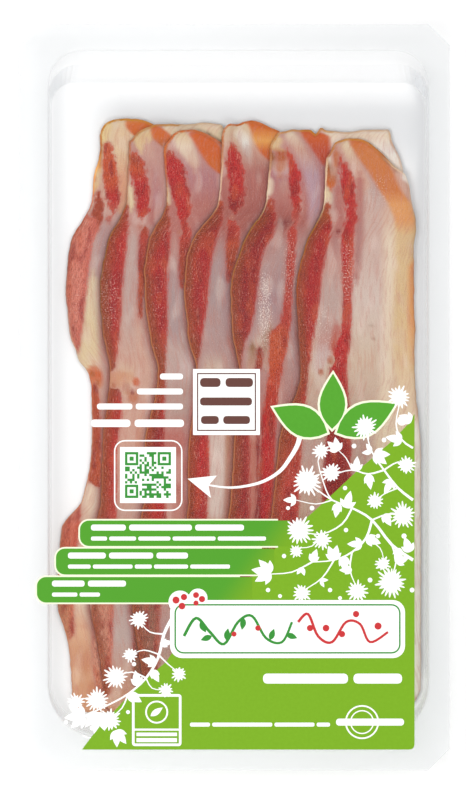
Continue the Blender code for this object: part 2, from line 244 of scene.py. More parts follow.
# What is painted on each slice, in this order. A row of a band: y, left, right and tone.
PAINT = [
    [  # slice_1
        fat(8, "110 60 140 cream, 200 60 150 pink_cream, 230 60 150 lavender, 270 60 150 lavender, "
               "300 60 150 pink_cream, 480 40 150 pink_cream, 600 40 160 pale, "
               "636 40 160 foot_orange, 720 40 160 foot_orange"),
        fat(5, "222 92 97 glisten, 272 89 96 glisten"),
        fat(4, "126 112 129 head_cream, 152 114 129 head_cream, 176 116 130 head_peach, "
               "214 116 130 head_peach"),
        fat(3, "112 124 145 rind_gold, 124 125 160 rind_amber, 134 132 160 rind_amber, "
               "142 142 160 rind_gold"),
        fat(4, "116 96 112 soft_yellow, 138 96 108 soft_yellow, 156 94 104 yellow"),
        fat(3, "146 96 102 olive, 168 96 102 rind_gold"),
        fat(3, "160 80 99 rind_gold, 178 80 99 yellow, 194 80 96 rind_gold"),
        fat(5, "275 88 97 cream, 300 84 98 cream, 330 82 98 yellow, 362 76 97 yellow, 380 74 88 cream"),
        fat(3, "364 88 99 foot_orange, 374 84 102 rind_orange, 390 86 104 foot_orange"),
        Spot(92, 374, 3, 3, "rust", 0.9),
        Spot(97, 383, 2.4, 3, "rust", 0.8),
        lean("141 104 110 orange_lean, 150 103 112 orange_lean, 166 102 116 head_orange, "
             "182 104 118.5 head_orange, 196 106 119 red, 206 108 116 pink_lean, 222 106 110 rose"),
        lean("190 96 100 brown_lean, 205 94 103 brown_lean, 222 90 101 brown_lean, 240 90 94 salmon"),
        lean("212 60 94.5 salmon, 243 50 91.5 salmon, 270 50 88 salmon, 291 50 85.5 salmon, "
             "312 50 83.5 salmon, 332 50 81 salmon, 350 50 78 salmon, 362 50 74 salmon"),
        lean("384 92 96 brown_lean, 400 88 99 orange_lean, 430 86 100 brown_lean, "
             "470 86 101 orange_lean, 492 90 101 brown_lean"),
        lean("494 60 74 rose, 508 50 80 salmon, 560 50 76 orange_lean, 610 50 73 foot_orange, "
             "640 60 74 foot_orange"),
        fat(8, "628 50 96 foot_light, 650 60 96 foot_mid, 720 60 96 foot_mid"),
        Spot(75, 678, 5, 10, "foot_light", 0.8),
        Spot(86, 664, 4, 12, "rust_tan", 0.35),
        Spot(92, 690, 5, 9, "rust_tan", 0.45),
        lean("530 95 108 pink_lean, 560 93 112 foot_lean, 625 94 112 foot_lean, 660 92 108 foot_lean, "
             "690 96 106 foot_orange"),
        Spot(109, 212, 3, 3, "pit", 0.6),
        Spot(92, 500, 9, 16, "pale", 0.9),
        Spot(94, 178, 3, 4, "rind_orange", 0.5),
        PaintedSheenSpot(78, 300, 12, 34, 0.3),
    ],
    [  # slice_2
        fat(8, "120 120 210 pink, 230 100 190 pink, 270 100 190 lavender, 330 100 190 pink_cream, "
               "380 90 190 pink_cream, 480 90 190 pink_cream, 560 90 190 soft_grey, "
               "640 90 190 soft_grey, 720 90 190 foot_orange"),
        fat(4, "118 158 236 pale, 134 166 236 cream, 146 176 236 tan"),
        fat(3, "122 132 154 cream, 134 132 154 tan, 150 136 146 tan"),
        fat(3, "124 148 162 rind_amber, 136 152 172 rind_amber, 150 162 176 rind_brown"),
        fat(3, "136 204 214 olive, 144 206 218 olive"),
        fat(4, "142 142 152 pink_cream, 172 150 160 lilac, 198 152 162 stripe_mauve, "
               "212 148 164 rose_pink, 226 148 162 rose_pink"),
        fat(5, "234 128 137 glisten, 260 126 136 glisten, 310 122 134 glisten, "
               "360 118 136 pink_cream, 388 118 130 cream"),
        fat(3, "184 127 133 cream, 208 127 134 yellow"),
        lean("151 131 136 orange_lean, 158 129 142 brown_lean, 168 130 145 head_orange, "
             "182 133 148 head_red, 196 135 150 head_red, 208 137 149 head_red, 220 140 143 red"),
        lean("204 123 128 pink_lean, 219 100 128 red, 234 100 127 red, 253 90 125 red, "
             "272 90 123.2 lean, 291 90 122 lean, 310 90 121 lean, 330 90 119 lean, "
             "349 100 117.5 lean, 366 104 114.5 pink_lean, 381 109 113 pink_lean, 392 105 120 red, "
             "412 98 121 red, 437 98 118 red, 455 98 116 red, 510 92 116 pink_lean, "
             "570 90 114 foot_lean, 640 92 112 foot_lean, 700 90 110 foot_orange"),
        lean("226 141 147 brown_lean, 240 139 149 pink_lean, 268 138 148 brown_lean, "
             "284 138 145 brown_lean, 318 138 142 brown_lean"),
        lean("540 133 146 brown, 590 131 150 brown, 640 133 150 brown, 690 132 146 brown"),
        Spot(140, 226, 3.2, 3, "pit", 0.9),
        Spot(120, 379, 16, 9, "foot_orange", 0.8),
        Spot(133, 397, 6, 7, "rust_tan", 0.75),
        Spot(140, 440, 5, 22, "rust_tan", 0.4),
        Spot(104, 376, 4, 3, "rust", 0.8),
        Spot(113, 386, 3, 3, "rust", 0.7),
        Spot(126, 388, 5, 6, "rust", 0.8),
        Spot(136, 382, 4, 5, "rind_orange", 0.8),
        Spot(132, 392, 2, 2.5, "dark", 0.9),
        PaintedSheenSpot(110, 300, 12, 34, 0.45),
    ],
    [  # slice_3
        fat(8, "120 150 240 pink_cream, 176 140 230 stripe_mauve, 204 140 220 rose_pink, "
               "228 140 210 rose_pink, 260 140 210 mauve, 290 140 210 violet, 345 140 210 grey_fat, "
               "366 140 210 white_fat, 388 140 210 grey_fat, 412 130 210 grey_fat, 436 130 210 rose, "
               "490 130 210 rose, 560 130 210 pink_cream, 640 130 210 lavender, 720 130 210 tan"),
        fat(4, "130 171 190 tan, 146 176 194 pale, 168 190 200 pink_cream"),
        fat(3, "130 184 206 amber, 140 193 216 amber, 152 200 224 amber, 164 208 228 rind_amber, "
               "174 216 228 rind_amber"),
        fat(3, "138 158 170 rust_tan, 152 158 168 rust_tan, 164 158 165 rind_brown"),
        fat(3, "186 164 170 cream, 206 163 170 yellow"),
        fat(5, "240 171 178 pink, 290 169 178 strip_grey, 335 168 180 strip_grey, "
               "350 168 180 glisten, 380 168 180 glisten"),
        lean("150 167 171 brown_lean, 158 164 178 head_red, 170 166 185 head_red, "
             "182 168 187 head_red, 196 173 190 head_red, 210 176 190 head_red, 226 181 185 head_red"),
        lean("204 163 168 brown_lean, 222 150 170 brown_lean, 234 150 170 lean, 253 130 169 lean, "
             "272 130 167.6 lean, 300 130 167.4 lean, 330 130 167 lean, 349 140 166 brown_lean, "
             "387 140 165 brown_lean, 410 140 164 lean, 430 140 164 deep, 460 130 164 deep, "
             "505 130 165 red, 560 120 167 brown_lean, 610 120 160 foot_brown, 700 120 158 foot_brown"),
        lean("222 183 188 pink_lean, 234 180 191 pink_lean, 262 179 189 brown_lean, "
             "276 179 186 brown_lean, 288 180 184 deep"),
        Spot(179.5, 232, 3.2, 3, "pit", 0.9),
        Spot(195.5, 363, 2.5, 6, "dark", 0.9),
        PaintedSheenSpot(158, 300, 8, 26, 0.25),
        PaintedSheenSpot(178, 170, 12, 14, 0.15),
    ],
    [  # slice_4
        fat(8, "120 200 280 cream, 148 200 280 pink_cream, 172 200 280 rose_pink, "
               "205 180 280 rose_dark, 228 180 260 rose_dark, 245 180 260 mauve, 270 180 260 violet, "
               "350 180 250 lilac_grey, 450 170 250 pink_cream, 640 170 250 grey_fat, 720 170 250 tan"),
        fat(4, "128 232 248 pale, 142 240 250 rim_pale, 156 244 250 glisten"),
        fat(3, "114 240 258 rind_amber, 126 249 280 rind_amber, 140 254 280 rind_gold, "
               "150 259 280 rind_amber, 162 267 280 rind_orange"),
        fat(4, "232 248 262 rose, 262 238 250 rose"),
        fat(5, "236 214 222 mauve, 262 212 222 strip_grey, 300 208 222 strip_grey, "
               "350 204 224 lilac_grey, 385 204 222 pale"),
        fat(4, "380 210 226 soft_fat, 520 208 224 soft_fat"),
        fat(3, "400 226 238 caramel, 470 226 238 caramel, 530 224 238 foot_orange"),
        lean("144 230 235 head_orange, 152 227 239 head_red, 172 227 244 head_red, "
             "188 229 245 head_red, 202 229 243 deep, 214 232 236 deep"),
        lean("200 217 224 brown_lean, 214 200 223 deep, 224 190 221 deep, 234 170 218 deep, "
             "253 170 213 lean, 272 170 210 lean, 291 170 208.3 lean, 310 170 206.5 lean, "
             "330 170 203 lean, 349 170 200.5 brown_lean, 372 188 197 deep, 400 180 200 lean, "
             "450 170 209 red, 560 170 206 deep, 700 170 206 deep"),
        lean("217 228 234 pink_lean, 230 227 240 pink_lean, 252 226 238 brown_lean, "
             "272 226 233 brown_lean, 282 227 230 brown_lean"),
        Spot(232, 217, 3, 3, "pit", 0.9),
        PaintedSheenSpot(196, 270, 10, 40, 0.15),
    ],
    [  # slice_5
        fat(8, "120 260 420 pink_cream, 170 250 340 stripe_mauve, 205 250 340 rose_pink, "
               "222 240 310 rose_dark, 236 240 310 mauve, 250 240 310 lilac_grey, 300 230 310 violet, "
               "350 230 310 lilac_grey, 450 220 300 rose, 640 220 300 grey_fat, 720 220 300 tan"),
        fat(4, "120 322 420 rim_pale, 135 326 420 pale, 150 330 420 rim_pale, 190 360 420 pale"),
        fat(4, "130 284 296 pale, 148 293 306 pink_cream, 174 305 320 stripe_lilac, "
               "205 309 321 stripe_lilac, 230 308 318 lilac"),
        fat(3, "126 296 312 rind_orange, 136 303 330 rind_orange, 150 313 332 rind_red, "
               "166 322 332 rind_red"),
        fat(4, "136 266 287 tan, 146 266 280 tan, 152 276 290 dried, 172 274 286 rust_tan"),
        fat(3, "150 262 276 rind_brown, 170 262 274 rind_brown"),
        fat(3, "176 262 273.5 pale, 196 262 273 pale"),
        fat(4, "180 278 290 pink, 202 276 292 rose_pink, 214 274 294 rose_dark, "
               "222 274 294 shade_rose, 232 274 292 rose_dark"),
        fat(5, "238 268 280 mauve, 262 261 276 lilac_grey, 300 258 276 violet, 330 256 272 glisten, "
               "352 250 270 soft_tan"),
        fat(4, "328 264 276 dull_tan, 366 260 273 dull_tan"),
        fat(3, "345 248 257 olive, 372 246 256 pink_cream"),
        lean("146 286 289 head_orange, 163 288 296 head_red, 180 289 301 head_red, 196 291 301 red, "
             "212 293 300 pink_lean, 226 293 298 rose"),
        lean("198 269 274 brown_lean, 207 240 274.5 deep, 222 240 276 deep, 234 240 273 deep, "
             "253 230 263 deep, 272 220 259.6 deep, 291 220 257.7 deep, 310 220 254.9 deep, "
             "330 220 250.5 deep, 345 226 244 deep, 372 226 241 brown_lean, 410 226 246 deep, "
             "450 226 250 deep, 560 220 250 deep, 700 220 250 deep"),
        lean("226 288 297 pink_lean, 250 287 296 pink_lean, 276 286 294 pink_lean, "
             "300 284 292 pink_lean, 322 280 291 pink_lean, 334 270 289 orange_lean, "
             "350 269 287 orange_lean, 366 269 283 head_orange, 420 262 276 red, 480 259 274 red, "
             "560 256 270 lean, 700 254 268 lean"),
        lean("346 257 261 dark, 358 257 263 brown_lean, 374 254 260 dark"),
        fat(2, "400 246 257 pit, 530 247 257 pit"),
        lean("400 256.2 258.4 dark, 470 256.8 259 dark, 530 255 257.4 dark"),
        fat(2, "400 275 283 pink, 530 272 278 pink"),
        Spot(283, 222, 4.5, 2, "dark", 0.7),
        PaintedSheenSpot(265, 308, 8, 44, 1.0),
        PaintedSheenSpot(290, 270, 8, 40, 0.6),
    ],
    [  # slice_6
        fat(8, "130 300 380 pink_cream, 165 300 386 pink, 190 300 386 glisten, 215 300 386 soft_rose, "
               "240 300 386 soft_rose, 300 280 386 soft_fat, 360 280 386 soft_tan, "
               "450 270 386 grey_fat, 720 270 386 tan"),
        fat(4, "140 341 352 cream, 165 350 362 pink_cream, 190 358 372 pink_cream"),
        fat(6, "200 384 428 pink_cream, 240 384 428 pale, 330 384 428 pale, 430 376 428 pale, "
               "720 360 428 pale"),
        fat(5, "215 395 430 tan, 260 395 430 tan, 340 393 430 tan, 430 396 430 pale"),
        fat(4, "170 398 430 rim_pale, 186 406 430 rim_pale"),
        fat(3, "134 347 368 rind_amber, 150 354 381 rind_deep, 170 368 393 rind_deep, "
               "190 380 402 rind_deep, 204 389 412 rind_peach, 220 395 416 rind_peach, "
               "236 397 418 tan"),
        fat(3, "150 378 396 ochre, 168 390 402 rind_brown"),
        fat(3, "262 409 418 rind_peach, 320 409 418 rind_peach, 372 410 418 tan"),
        fat(3, "156 325 332 pale, 166 325 336 rind_brown, 188 325 337 rind_amber"),
        fat(3, "190 322 332 yellow, 206 322 332 pale"),
        fat(3, "150 332 340 rust_tan, 168 333 339 rust_tan"),
        fat(4, "184 334 344 rose_pink, 226 334 346 rose_pink, 240 326 344 rose_pink"),
        fat(4, "176 356 364 rose, 230 354 364 mauve, 280 353 360 mauve"),
        fat(5, "236 324 342 mauve, 262 324 342 pink, 290 320 342 glisten, 318 318 340 glisten, "
               "340 316 336 pink, 356 314 331 white_fat, 374 312 324 soft_fat"),
        fat(5, "420 413 430 rim_pale, 700 411 430 rim_pale"),
        fat(3, "324 333 341 rose, 352 330 337 rind_red"),
        lean("156 340 342 head_orange, 167 341 348.5 head_red, 184 342 355 head_red, "
             "200 345 356 head_red, 216 347 357 red, 236 342 354 red, 253 342 354 red, "
             "276 342 353 pink_lean, 300 343 352 pink_lean, 322 342 351.4 pink_lean, "
             "334 340 351 head_red, 348 335 349.5 head_red, 368 331 347 head_red, 420 328 350 deep, "
             "500 322 352 deep, 560 320 350 lean, 700 318 348 lean"),
        lean("202 325 329 dried_lean, 215 318 331 dried_lean, 224 305 333 lean, 234 295 331 lean, "
             "253 290 326 lean, 272 290 323 lean, 291 280 320.5 lean, 310 280 318.5 lean, "
             "330 280 315 lean, 349 280 312 lean, 368 280 309 lean, 410 280 305 red, "
             "440 270 302 brown_lean, 480 266 300 pink_lean, 560 265 296 lean, 700 265 289 lean"),
        Spot(338.5, 231, 3, 2.4, "dark", 0.75),
        Spot(331, 360, 4, 5, "dried", 0.8),
        Spot(321, 372, 3, 4, "dried", 0.8),
        Spot(372, 325, 2.5, 2, "brown", 0.35),
        Spot(374, 338, 2.5, 2, "brown", 0.35),
        PaintedSheenSpot(324, 330, 12, 30, 0.5),
        PaintedSheenSpot(348, 270, 8, 40, 0.6),
        PaintedSheenSpot(380, 190, 14, 20, 0.4),
    ],
]

# The dried line along each slice's edge from head to foot: y, tone and strength.
EDGES = [
    rows_of("118 ochre 1.0, 150 rind_brown 0.9, 170 rind_gold 0.7, 200 rind_orange 0.6, "
            "240 rind_brown 0.5, 300 pink_cream 0.4, 360 cream 0.5, 385 rind_orange 0.7, "
            "420 foot_orange 0.6, 700 foot_orange 0.5"),
    rows_of("122 ochre 0.8, 140 rind_brown 0.8, 190 rind_brown 0.5, 236 ochre 0.6, 300 olive 0.6, "
            "345 line_gold 0.7, 395 line_gold 0.4, 590 line_gold 0.4, 625 line_gold 0.15"),
    rows_of("130 rust 1.0, 150 rust 0.8, 190 rind_brown 0.6, 225 line_gold 0.7, 300 line_gold 0.9, "
            "590 line_gold 0.8, 625 line_gold 0.25"),
    rows_of("120 rust 1.0, 150 rind_brown 0.8, 190 cream 0.5, 215 line_gold 0.8, 330 line_gold 0.9, "
            "590 line_gold 0.8, 625 line_gold 0.3"),
    rows_of("129 ochre 0.7, 150 rind_brown 0.8, 200 cream 0.5, 222 ochre 0.8, 300 line_gold 0.8, "
            "700 line_gold 0.9"),
    rows_of("138 ochre 0.9, 156 rind_brown 0.8, 168 cream 0.5, 200 cream 0.6, 225 ochre 0.8, "
            "290 dried_lean 0.8, 340 shadow_brown 0.7, 420 line_gold 0.7, 700 line_gold 0.8"),
]

# How strong that line is on each slice's right side, at its head and below.
HEAD_LINES = (0.9, 0.3, 0.9, 0.9, 0.55, 0.9)
BELOW_HEAD_LINE = 0.35
# How much wider it is at the heads, in millimetres, and how much more broken there; it is also lighter
# there, as painted light against the shade of the steep rims.
WIDER_AT_HEAD = 0.30
HEAD_LINE_PAINTED_LIGHT = 0.55
HEAD_LINE_BREAKS = 0.35
BREAK_SIZE = 1.5 * MM
BREAK_EDGE = (-0.1, 0.4)

# Where an outline bulges or has a notch: x, y, how far it moves and how far that reaches, in pixels.
WARPS = [
    rows_of("94 174 -4 0 10 14, 74 245 -3.5 0 14 26, 68 291 -2.4 0 14 25, 71 335 -1.5 0 14 20, "
            "83 363 -8 0 14 13, 108 118 0 2 8 6"),
    rows_of("130 126 1 9 10 13, 143 124 0 3 9 10, 205 124 0 -2 10 8, 104 232 -2 0 8 9"),
    rows_of("167 133 1 5 6 9, 190 131 0 -2 8 7, 146 268 -1.5 0 8 10, 143 330 1.2 0 8 9, "
            "146 437 -2.8 0 10 34"),
    rows_of("236 120 0 4 8 8, 280 138 0 -5 14 10, 190 258 -1.4 0 8 9, 186 320 1.4 0 8 8, "
            "191 458 -3.2 0 10 46"),
    rows_of("268 132 2 6 8 10, 284 129 0 2 6 8, 316 129 0 4.5 3.5 8, 321 129 0 -2.6 3 8, "
            "346 129 0 2.5 14 8, 395 144 -5 0 10 12, 252 224 -1.6 0 8 8"),
    rows_of("326 142 3 7 8 12, 340 138 0 2 6 8, 402 182 5 -5 12 18, 414 220 2.3 0 8 18, "
            "414 247 -0.8 0 8 5, 416 330 1.2 0 8 12"),
]


def across(x):
    return (x - MIDDLE_X) * PIXEL


def along(y):
    return (MIDDLE_Y - y) * PIXEL


def linear(tone):
    """A tone's display values as scene values."""
    return tuple(
        value / 255 / 12.92 if value <= 10 else ((value / 255 + 0.055) / 1.055) ** 2.4 for value in tone
    )


def rgba(tone):
    return (*linear(tone), 1.0)


def meat_tone(name):
    """A tone's own colour, less the light that the moist surface and the film throw back."""
    return tuple(max(value - VEIL, DARKEST) for value in linear(TONES[name]))


def smooth_step(value, low, high):
    t = np.clip((value - low) / (high - low), 0, 1)
    return t * t * (3 - 2 * t)


def below(y, change):
    """0 above a change's height and 1 well below it."""
    start, reach = change
    return smooth_step(along(start) - y, 0.0, reach)


def above(y, change):
    """0 below a change's height and 1 well above it."""
    start, reach = change
    return smooth_step(y - along(start), 0.0, reach)


def wander(points, size, seed):
    """Smooth noise of about -1 to 1 at each point, whose waves are of about this size."""
    return np.array([noise.noise(Vector((x / size, y / size, seed))) for x, y in points])


def add_object(name, data):
    obj = bpy.data.objects.new(name, data)
    bpy.context.scene.collection.objects.link(obj)
    return obj


# Materials


class Nodes:
    """A material's node tree, built node by node."""

    def __init__(self, name):
        self.material = bpy.data.materials.new(name)
        self.material.use_nodes = True
        self.tree = self.material.node_tree
        self.shader = self.tree.nodes["Principled BSDF"]

    def put(self, socket, value):
        if isinstance(value, bpy.types.NodeSocket):
            self.tree.links.new(value, socket)
        else:
            socket.default_value = value

    def add(self, kind, inputs=None, **settings):
        node = self.tree.nodes.new(kind)
        for key, value in settings.items():
            setattr(node, key, value)
        for key, value in (inputs or {}).items():
            self.put(node.inputs[key], value)
        return node

    def set(self, **inputs):
        for key, value in inputs.items():
            self.put(self.shader.inputs[key.replace("_", " ")], value)

    def attribute(self, name, output="Fac"):
        return self.add("ShaderNodeAttribute", attribute_name=name).outputs[output]

    def place(self, output="Object"):
        return self.add("ShaderNodeTexCoord").outputs[output]

    def parts(self, vector):
        return self.add("ShaderNodeSeparateXYZ", {0: vector}).outputs

    def noise(self, vector, stretch, detail, roughness=0.55):
        mapped = self.add("ShaderNodeVectorMath", {0: vector, 1: stretch}, operation="MULTIPLY").outputs[0]
        inputs = {"Vector": mapped, "Scale": 1.0, "Detail": detail, "Roughness": roughness}
        return self.add("ShaderNodeTexNoise", inputs).outputs["Fac"]

    def math(self, operation, first, second=0.0, third=0.0):
        return self.add("ShaderNodeMath", {0: first, 1: second, 2: third}, operation=operation).outputs[0]

    def times(self, first, *others):
        """The product of several values."""
        for other in others:
            first = self.math("MULTIPLY", first, other)
        return first

    def ramp(self, value, low, high, start=0.0, end=1.0):
        inputs = {"Value": value, "From Min": low, "From Max": high, "To Min": start, "To Max": end}
        return self.add("ShaderNodeMapRange", inputs, interpolation_type="SMOOTHSTEP").outputs["Result"]

    def mix(self, share, first, second, blend="MIX"):
        """Two colours mixed; sockets 6 and 7 and output 2 are the node's colour ones."""
        node = self.add("ShaderNodeMix", data_type="RGBA", blend_type=blend)
        self.put(node.inputs["Factor"], share)
        self.put(node.inputs[6], first)
        self.put(node.inputs[7], second)
        return node.outputs[2]

    def bump(self, height, distance, strength):
        inputs = {"Height": height, "Distance": distance, "Strength": strength}
        return self.add("ShaderNodeBump", inputs).outputs[0]


def cured_pork():
    """Moist cured belly, from the layers that each slice carries."""
    nodes = Nodes("cured_pork")
    strand = nodes.attribute("strand", "Vector")
    streak = nodes.noise(strand, (1.3, 0.13, 1.0), 3.0, 0.6)
    fibre = nodes.noise(strand, (4.0, 0.5, 1.0), 3.0, 0.65)
    grain = nodes.noise(strand, (3.0, 2.2, 1.0), 2.0, 0.6)

    # The border between fat and lean wanders with all three.
    wander_in = nodes.math("MULTIPLY_ADD", streak, 2.6, -1.3)
    wander_fine = nodes.math("MULTIPLY_ADD", fibre, 1.6, -0.8)
    wander_grain = nodes.math("MULTIPLY_ADD", grain, 2.4, -1.2)
    red = nodes.math("ADD", nodes.attribute("red"), nodes.math("ADD", wander_in, wander_fine))
    lean_share = nodes.ramp(nodes.math("ADD", red, wander_grain), -0.65, 0.50)

    # Lean: long fibres, darker and paler, with fine threads of fat.
    lean_tone = nodes.attribute("lean", "Color")
    dark_lean = nodes.mix(1.0, lean_tone, DARK_FIBRE, "MULTIPLY")
    lean_tone = nodes.mix(nodes.ramp(fibre, 0.55, 0.34), lean_tone, dark_lean)
    lean_tone = nodes.mix(nodes.ramp(grain, 0.52, 0.66, 0.0, 0.50), lean_tone, rgba(LEAN_SPECK))
    thread = nodes.ramp(nodes.math("ADD", streak, fibre), 1.12, 1.24, 0.0, 0.38)
    lean_tone = nodes.mix(thread, lean_tone, rgba(FAT_THREAD))

    # Fat: translucent, clouded, with faint pink veins.
    fat_tone = nodes.attribute("fat", "Color")
    fat_tone = nodes.mix(nodes.ramp(streak, 0.52, 0.36, 0.0, 0.30), fat_tone, rgba(PINK_CLOUD))
    fat_tone = nodes.mix(nodes.ramp(fibre, 0.52, 0.68, 0.0, 0.14), fat_tone, rgba(PALE_FIBRE))
    colour = nodes.mix(lean_share, fat_tone, lean_tone)

    # The edge dries to a thin line, and white specks of painted glint show where the spots of painted sheen
    # lie.
    rim = nodes.math("MULTIPLY_ADD", grain, 0.9, nodes.attribute("rim"))
    edge = nodes.times(nodes.ramp(rim, 0.90, 0.56), nodes.attribute("edge"))
    colour = nodes.mix(edge, colour, nodes.attribute("rind", "Color"))
    glints = nodes.math("MULTIPLY_ADD", nodes.attribute("painted_sheen"), 0.16, grain)
    colour = nodes.mix(nodes.ramp(glints, 0.67, 0.75, 0.0, 0.85), colour, rgba(PAINTED_GLINT))

    nodes.set(
        Base_Color=colour,
        Roughness=nodes.ramp(grain, 0.3, 0.7, 0.24, 0.42),
        Normal=nodes.bump(nodes.math("ADD", fibre, grain), 0.35 * MM, 0.7),
        Specular_IOR_Level=0.32,
    )
    return nodes.material


# A clear sheet: its flat parts' tone, roughness and alpha, its steep parts' tone and alpha, how much
# more alpha its flange has, and how much more the parts beside the meat have, where painted shade lies.
Clear = namedtuple("Clear", "tone roughness alpha steep_tone steep_alpha flange_alpha haze")
CLEAR_TRAY = Clear((252, 254, 255), 0.08, 0.04, (240, 244, 248), 0.30, 0.20, 0.06)
CLEAR_FILM = Clear((130, 138, 146), 0.06, 0.022, (178, 185, 192), 0.10, 0.0, 0.0)
# The grey of the painted shade on the tray's floor beside the meat's right side and above its head.
PAINTED_SHADE_TONE = (150, 154, 160)
# Painted shade: how much greyer the sheets' tone is on the right, away from the key light.
SHADED_RIGHT_BY = 14
# Where each of these looks begins and where it is full.
STEEP = (0.62, 0.30)
FLANGE = (11.4 * MM, 12.0 * MM)
WELL = (11.4 * MM, 6.0 * MM)
SHADED_RIGHT = (-30.0 * MM, 66.0 * MM)
RIGHT_STRIP = (57.0 * MM, 63.0 * MM)
RIGHT_STRIP_FOOT = (-97.0 * MM, -89.0 * MM)
HEAD_SLOPE_TOP = (107.0 * MM, 95.0 * MM)
HEAD_SLOPE_FOOT = (60.0 * MM, 90.0 * MM)
HEAD_SLOPE_LEFT = (-56.0 * MM, -36.0 * MM)


def clear_plastic(name, look):
    """A clear sheet, of which more shows where it stands steep and on the flange, with painted shade beside
    the meat and a tone that greys to the right.
    """
    nodes = Nodes(name)
    clouds = nodes.noise(nodes.place(), (40.0, 20.0, 40.0), 1.0)
    upright = nodes.parts(nodes.place("Normal"))["Z"]
    where = nodes.parts(nodes.place())
    steep = nodes.ramp(nodes.math("ABSOLUTE", upright), *STEEP)
    # Painted shade: the floor beside the meat's right side and above its head is greyed and made less
    # clear.
    head = nodes.times(
        nodes.ramp(where["Y"], *HEAD_SLOPE_TOP),
        nodes.ramp(where["Y"], *HEAD_SLOPE_FOOT),
        nodes.ramp(where["X"], *HEAD_SLOPE_LEFT),
    )
    strip = nodes.times(nodes.ramp(where["X"], *RIGHT_STRIP), nodes.ramp(where["Y"], *RIGHT_STRIP_FOOT))
    painted_shade = nodes.times(nodes.math("MAXIMUM", strip, head), nodes.ramp(where["Z"], *WELL))
    # Painted shade: the tone greys from left to right, as the light falls from the left.
    shaded_tone = rgba(tuple(value - SHADED_RIGHT_BY for value in look.tone))
    tone = nodes.mix(nodes.ramp(where["X"], *SHADED_RIGHT), rgba(look.tone), shaded_tone)
    tone = nodes.mix(painted_shade, tone, rgba(PAINTED_SHADE_TONE))
    alpha = nodes.ramp(steep, 0.0, 1.0, look.alpha, look.steep_alpha)
    alpha = nodes.math("MULTIPLY_ADD", nodes.ramp(where["Z"], *FLANGE), look.flange_alpha, alpha)
    nodes.set(
        Base_Color=nodes.mix(steep, tone, rgba(look.steep_tone)),
        Roughness=nodes.ramp(clouds, 0.3, 0.7, look.roughness, look.roughness * 2),
        Alpha=nodes.math("MULTIPLY_ADD", painted_shade, look.haze, alpha),
    )
    return nodes.material


# The slices


def smooth_through(stations, values, y):
    """A curve through values at stations that run from head to foot, with no overshoot, at y."""
    xs = -np.asarray(stations)
    values = np.asarray(values, dtype=float)
    steps = np.diff(values) / np.diff(xs)
    slopes = np.zeros(len(values))
    same_way = steps[:-1] * steps[1:] > 0
    slopes[1:-1][same_way] = 2 / (1 / steps[:-1][same_way] + 1 / steps[1:][same_way])
    at = np.clip(-np.asarray(y), xs[0], xs[-1])
    i = np.clip(np.searchsorted(xs, at) - 1, 0, len(xs) - 2)
    span = xs[i + 1] - xs[i]
    t = (at - xs[i]) / span
    start = (1 + 2 * t) * (1 - t) ** 2 * values[i] + t * (1 - t) ** 2 * span * slopes[i]
    end = t**2 * (3 - 2 * t) * values[i + 1] - t**2 * (1 - t) * span * slopes[i + 1]
    return start + end


def rounding(depth, across_size, along_size, power):
    """How far an edge draws in at a depth from the end, for a corner of these sizes."""
    t = np.clip(1 - depth / along_size, 0, 1)
    return across_size * (1 - (1 - t**power) ** (1 / power))


def edges(shape, y):
    """The slice's left and right edges at the heights y."""
    from_head = shape.head * MM - y
    from_foot = y - SLICE_FOOT
    left = smooth_through(STATIONS, np.array(shape.left) * MM, y)
    left = left + rounding(from_head, *HEAD_ROUNDING, ROUND)
    left = left + rounding(from_foot, *LEFT_FOOT_ROUNDING, ROUND)
    across_size, along_size = (size * MM for size in shape.shoulder)
    right = smooth_through(RIGHT_STATIONS, np.array(shape.right) * MM, y)
    right = right - rounding(from_head, across_size, along_size, SHOULDER_POWER)
    right = right - rounding(from_foot, *RIGHT_FOOT_ROUNDING, ROUND)
    return left, right


class Pile:
    """The height of what lies in the tray, on a grid of cells."""

    def __init__(self):
        self.x = np.arange(CAVITY_LEFT, CAVITY_RIGHT, CELL)
        self.y = np.arange(CAVITY_BOTTOM, CAVITY_TOP, CELL)
        self.top = np.full((len(self.y), len(self.x)), SHEET)
        self.cover = None

    def spread(self, field, combine):
        """Each cell combined with the cells within the drape's reach, along and across."""
        reach = round(DRAPE / CELL)
        for axis, count in enumerate(field.shape):
            margin = [(0, 0), (0, 0)]
            margin[axis] = (reach, reach)
            padded = np.pad(field, margin, mode="edge")
            moved = [np.take(padded, range(i, i + count), axis) for i in range(2 * reach + 1)]
            field = combine(moved, axis=0)
        return field

    def drape(self):
        self.cover = self.spread(self.spread(self.top, np.max), np.mean)

    def draped(self, x, y):
        """The height of a soft sheet laid over the pile, at points."""
        j = ((x - self.x[0]) / CELL).clip(0, len(self.x) - 1.001)
        i = ((y - self.y[0]) / CELL).clip(0, len(self.y) - 1.001)
        j0 = j.astype(int)
        i0 = i.astype(int)
        near = self.cover[i0, j0] * (1 - j + j0) + self.cover[i0, j0 + 1] * (j - j0)
        far = self.cover[i0 + 1, j0] * (1 - j + j0) + self.cover[i0 + 1, j0 + 1] * (j - j0)
        return near * (1 - i + i0) + far * (i - i0)

    def grow(self, shape):
        x, y = np.meshgrid(self.x, self.y)
        head = shape.head * MM
        left, right = edges(shape, np.clip(y, SLICE_FOOT, head))
        cells = (x > left - CELL) & (x < right + CELL) & (y < head + CELL) & (y > SLICE_FOOT - CELL)
        self.top[cells] = (self.draped(x, y) + SLICE_GAP + SLICE)[cells]


def crowded(count, crowding):
    """Shares from 0 to 1 that lie closer together at both ends."""
    share = np.linspace(0, 1, count + 1)
    return share - crowding * np.sin(2 * math.pi * share) / (2 * math.pi)


def tones_at(heights, names, y):
    """The tones that are named at heights in pixels, from head to foot, blended at y."""
    order = [-along(height) for height in heights]
    tones = np.array([meat_tone(name) for name in names])
    return np.stack([np.interp(-y, order, tones[:, channel]) for channel in range(3)], axis=-1)


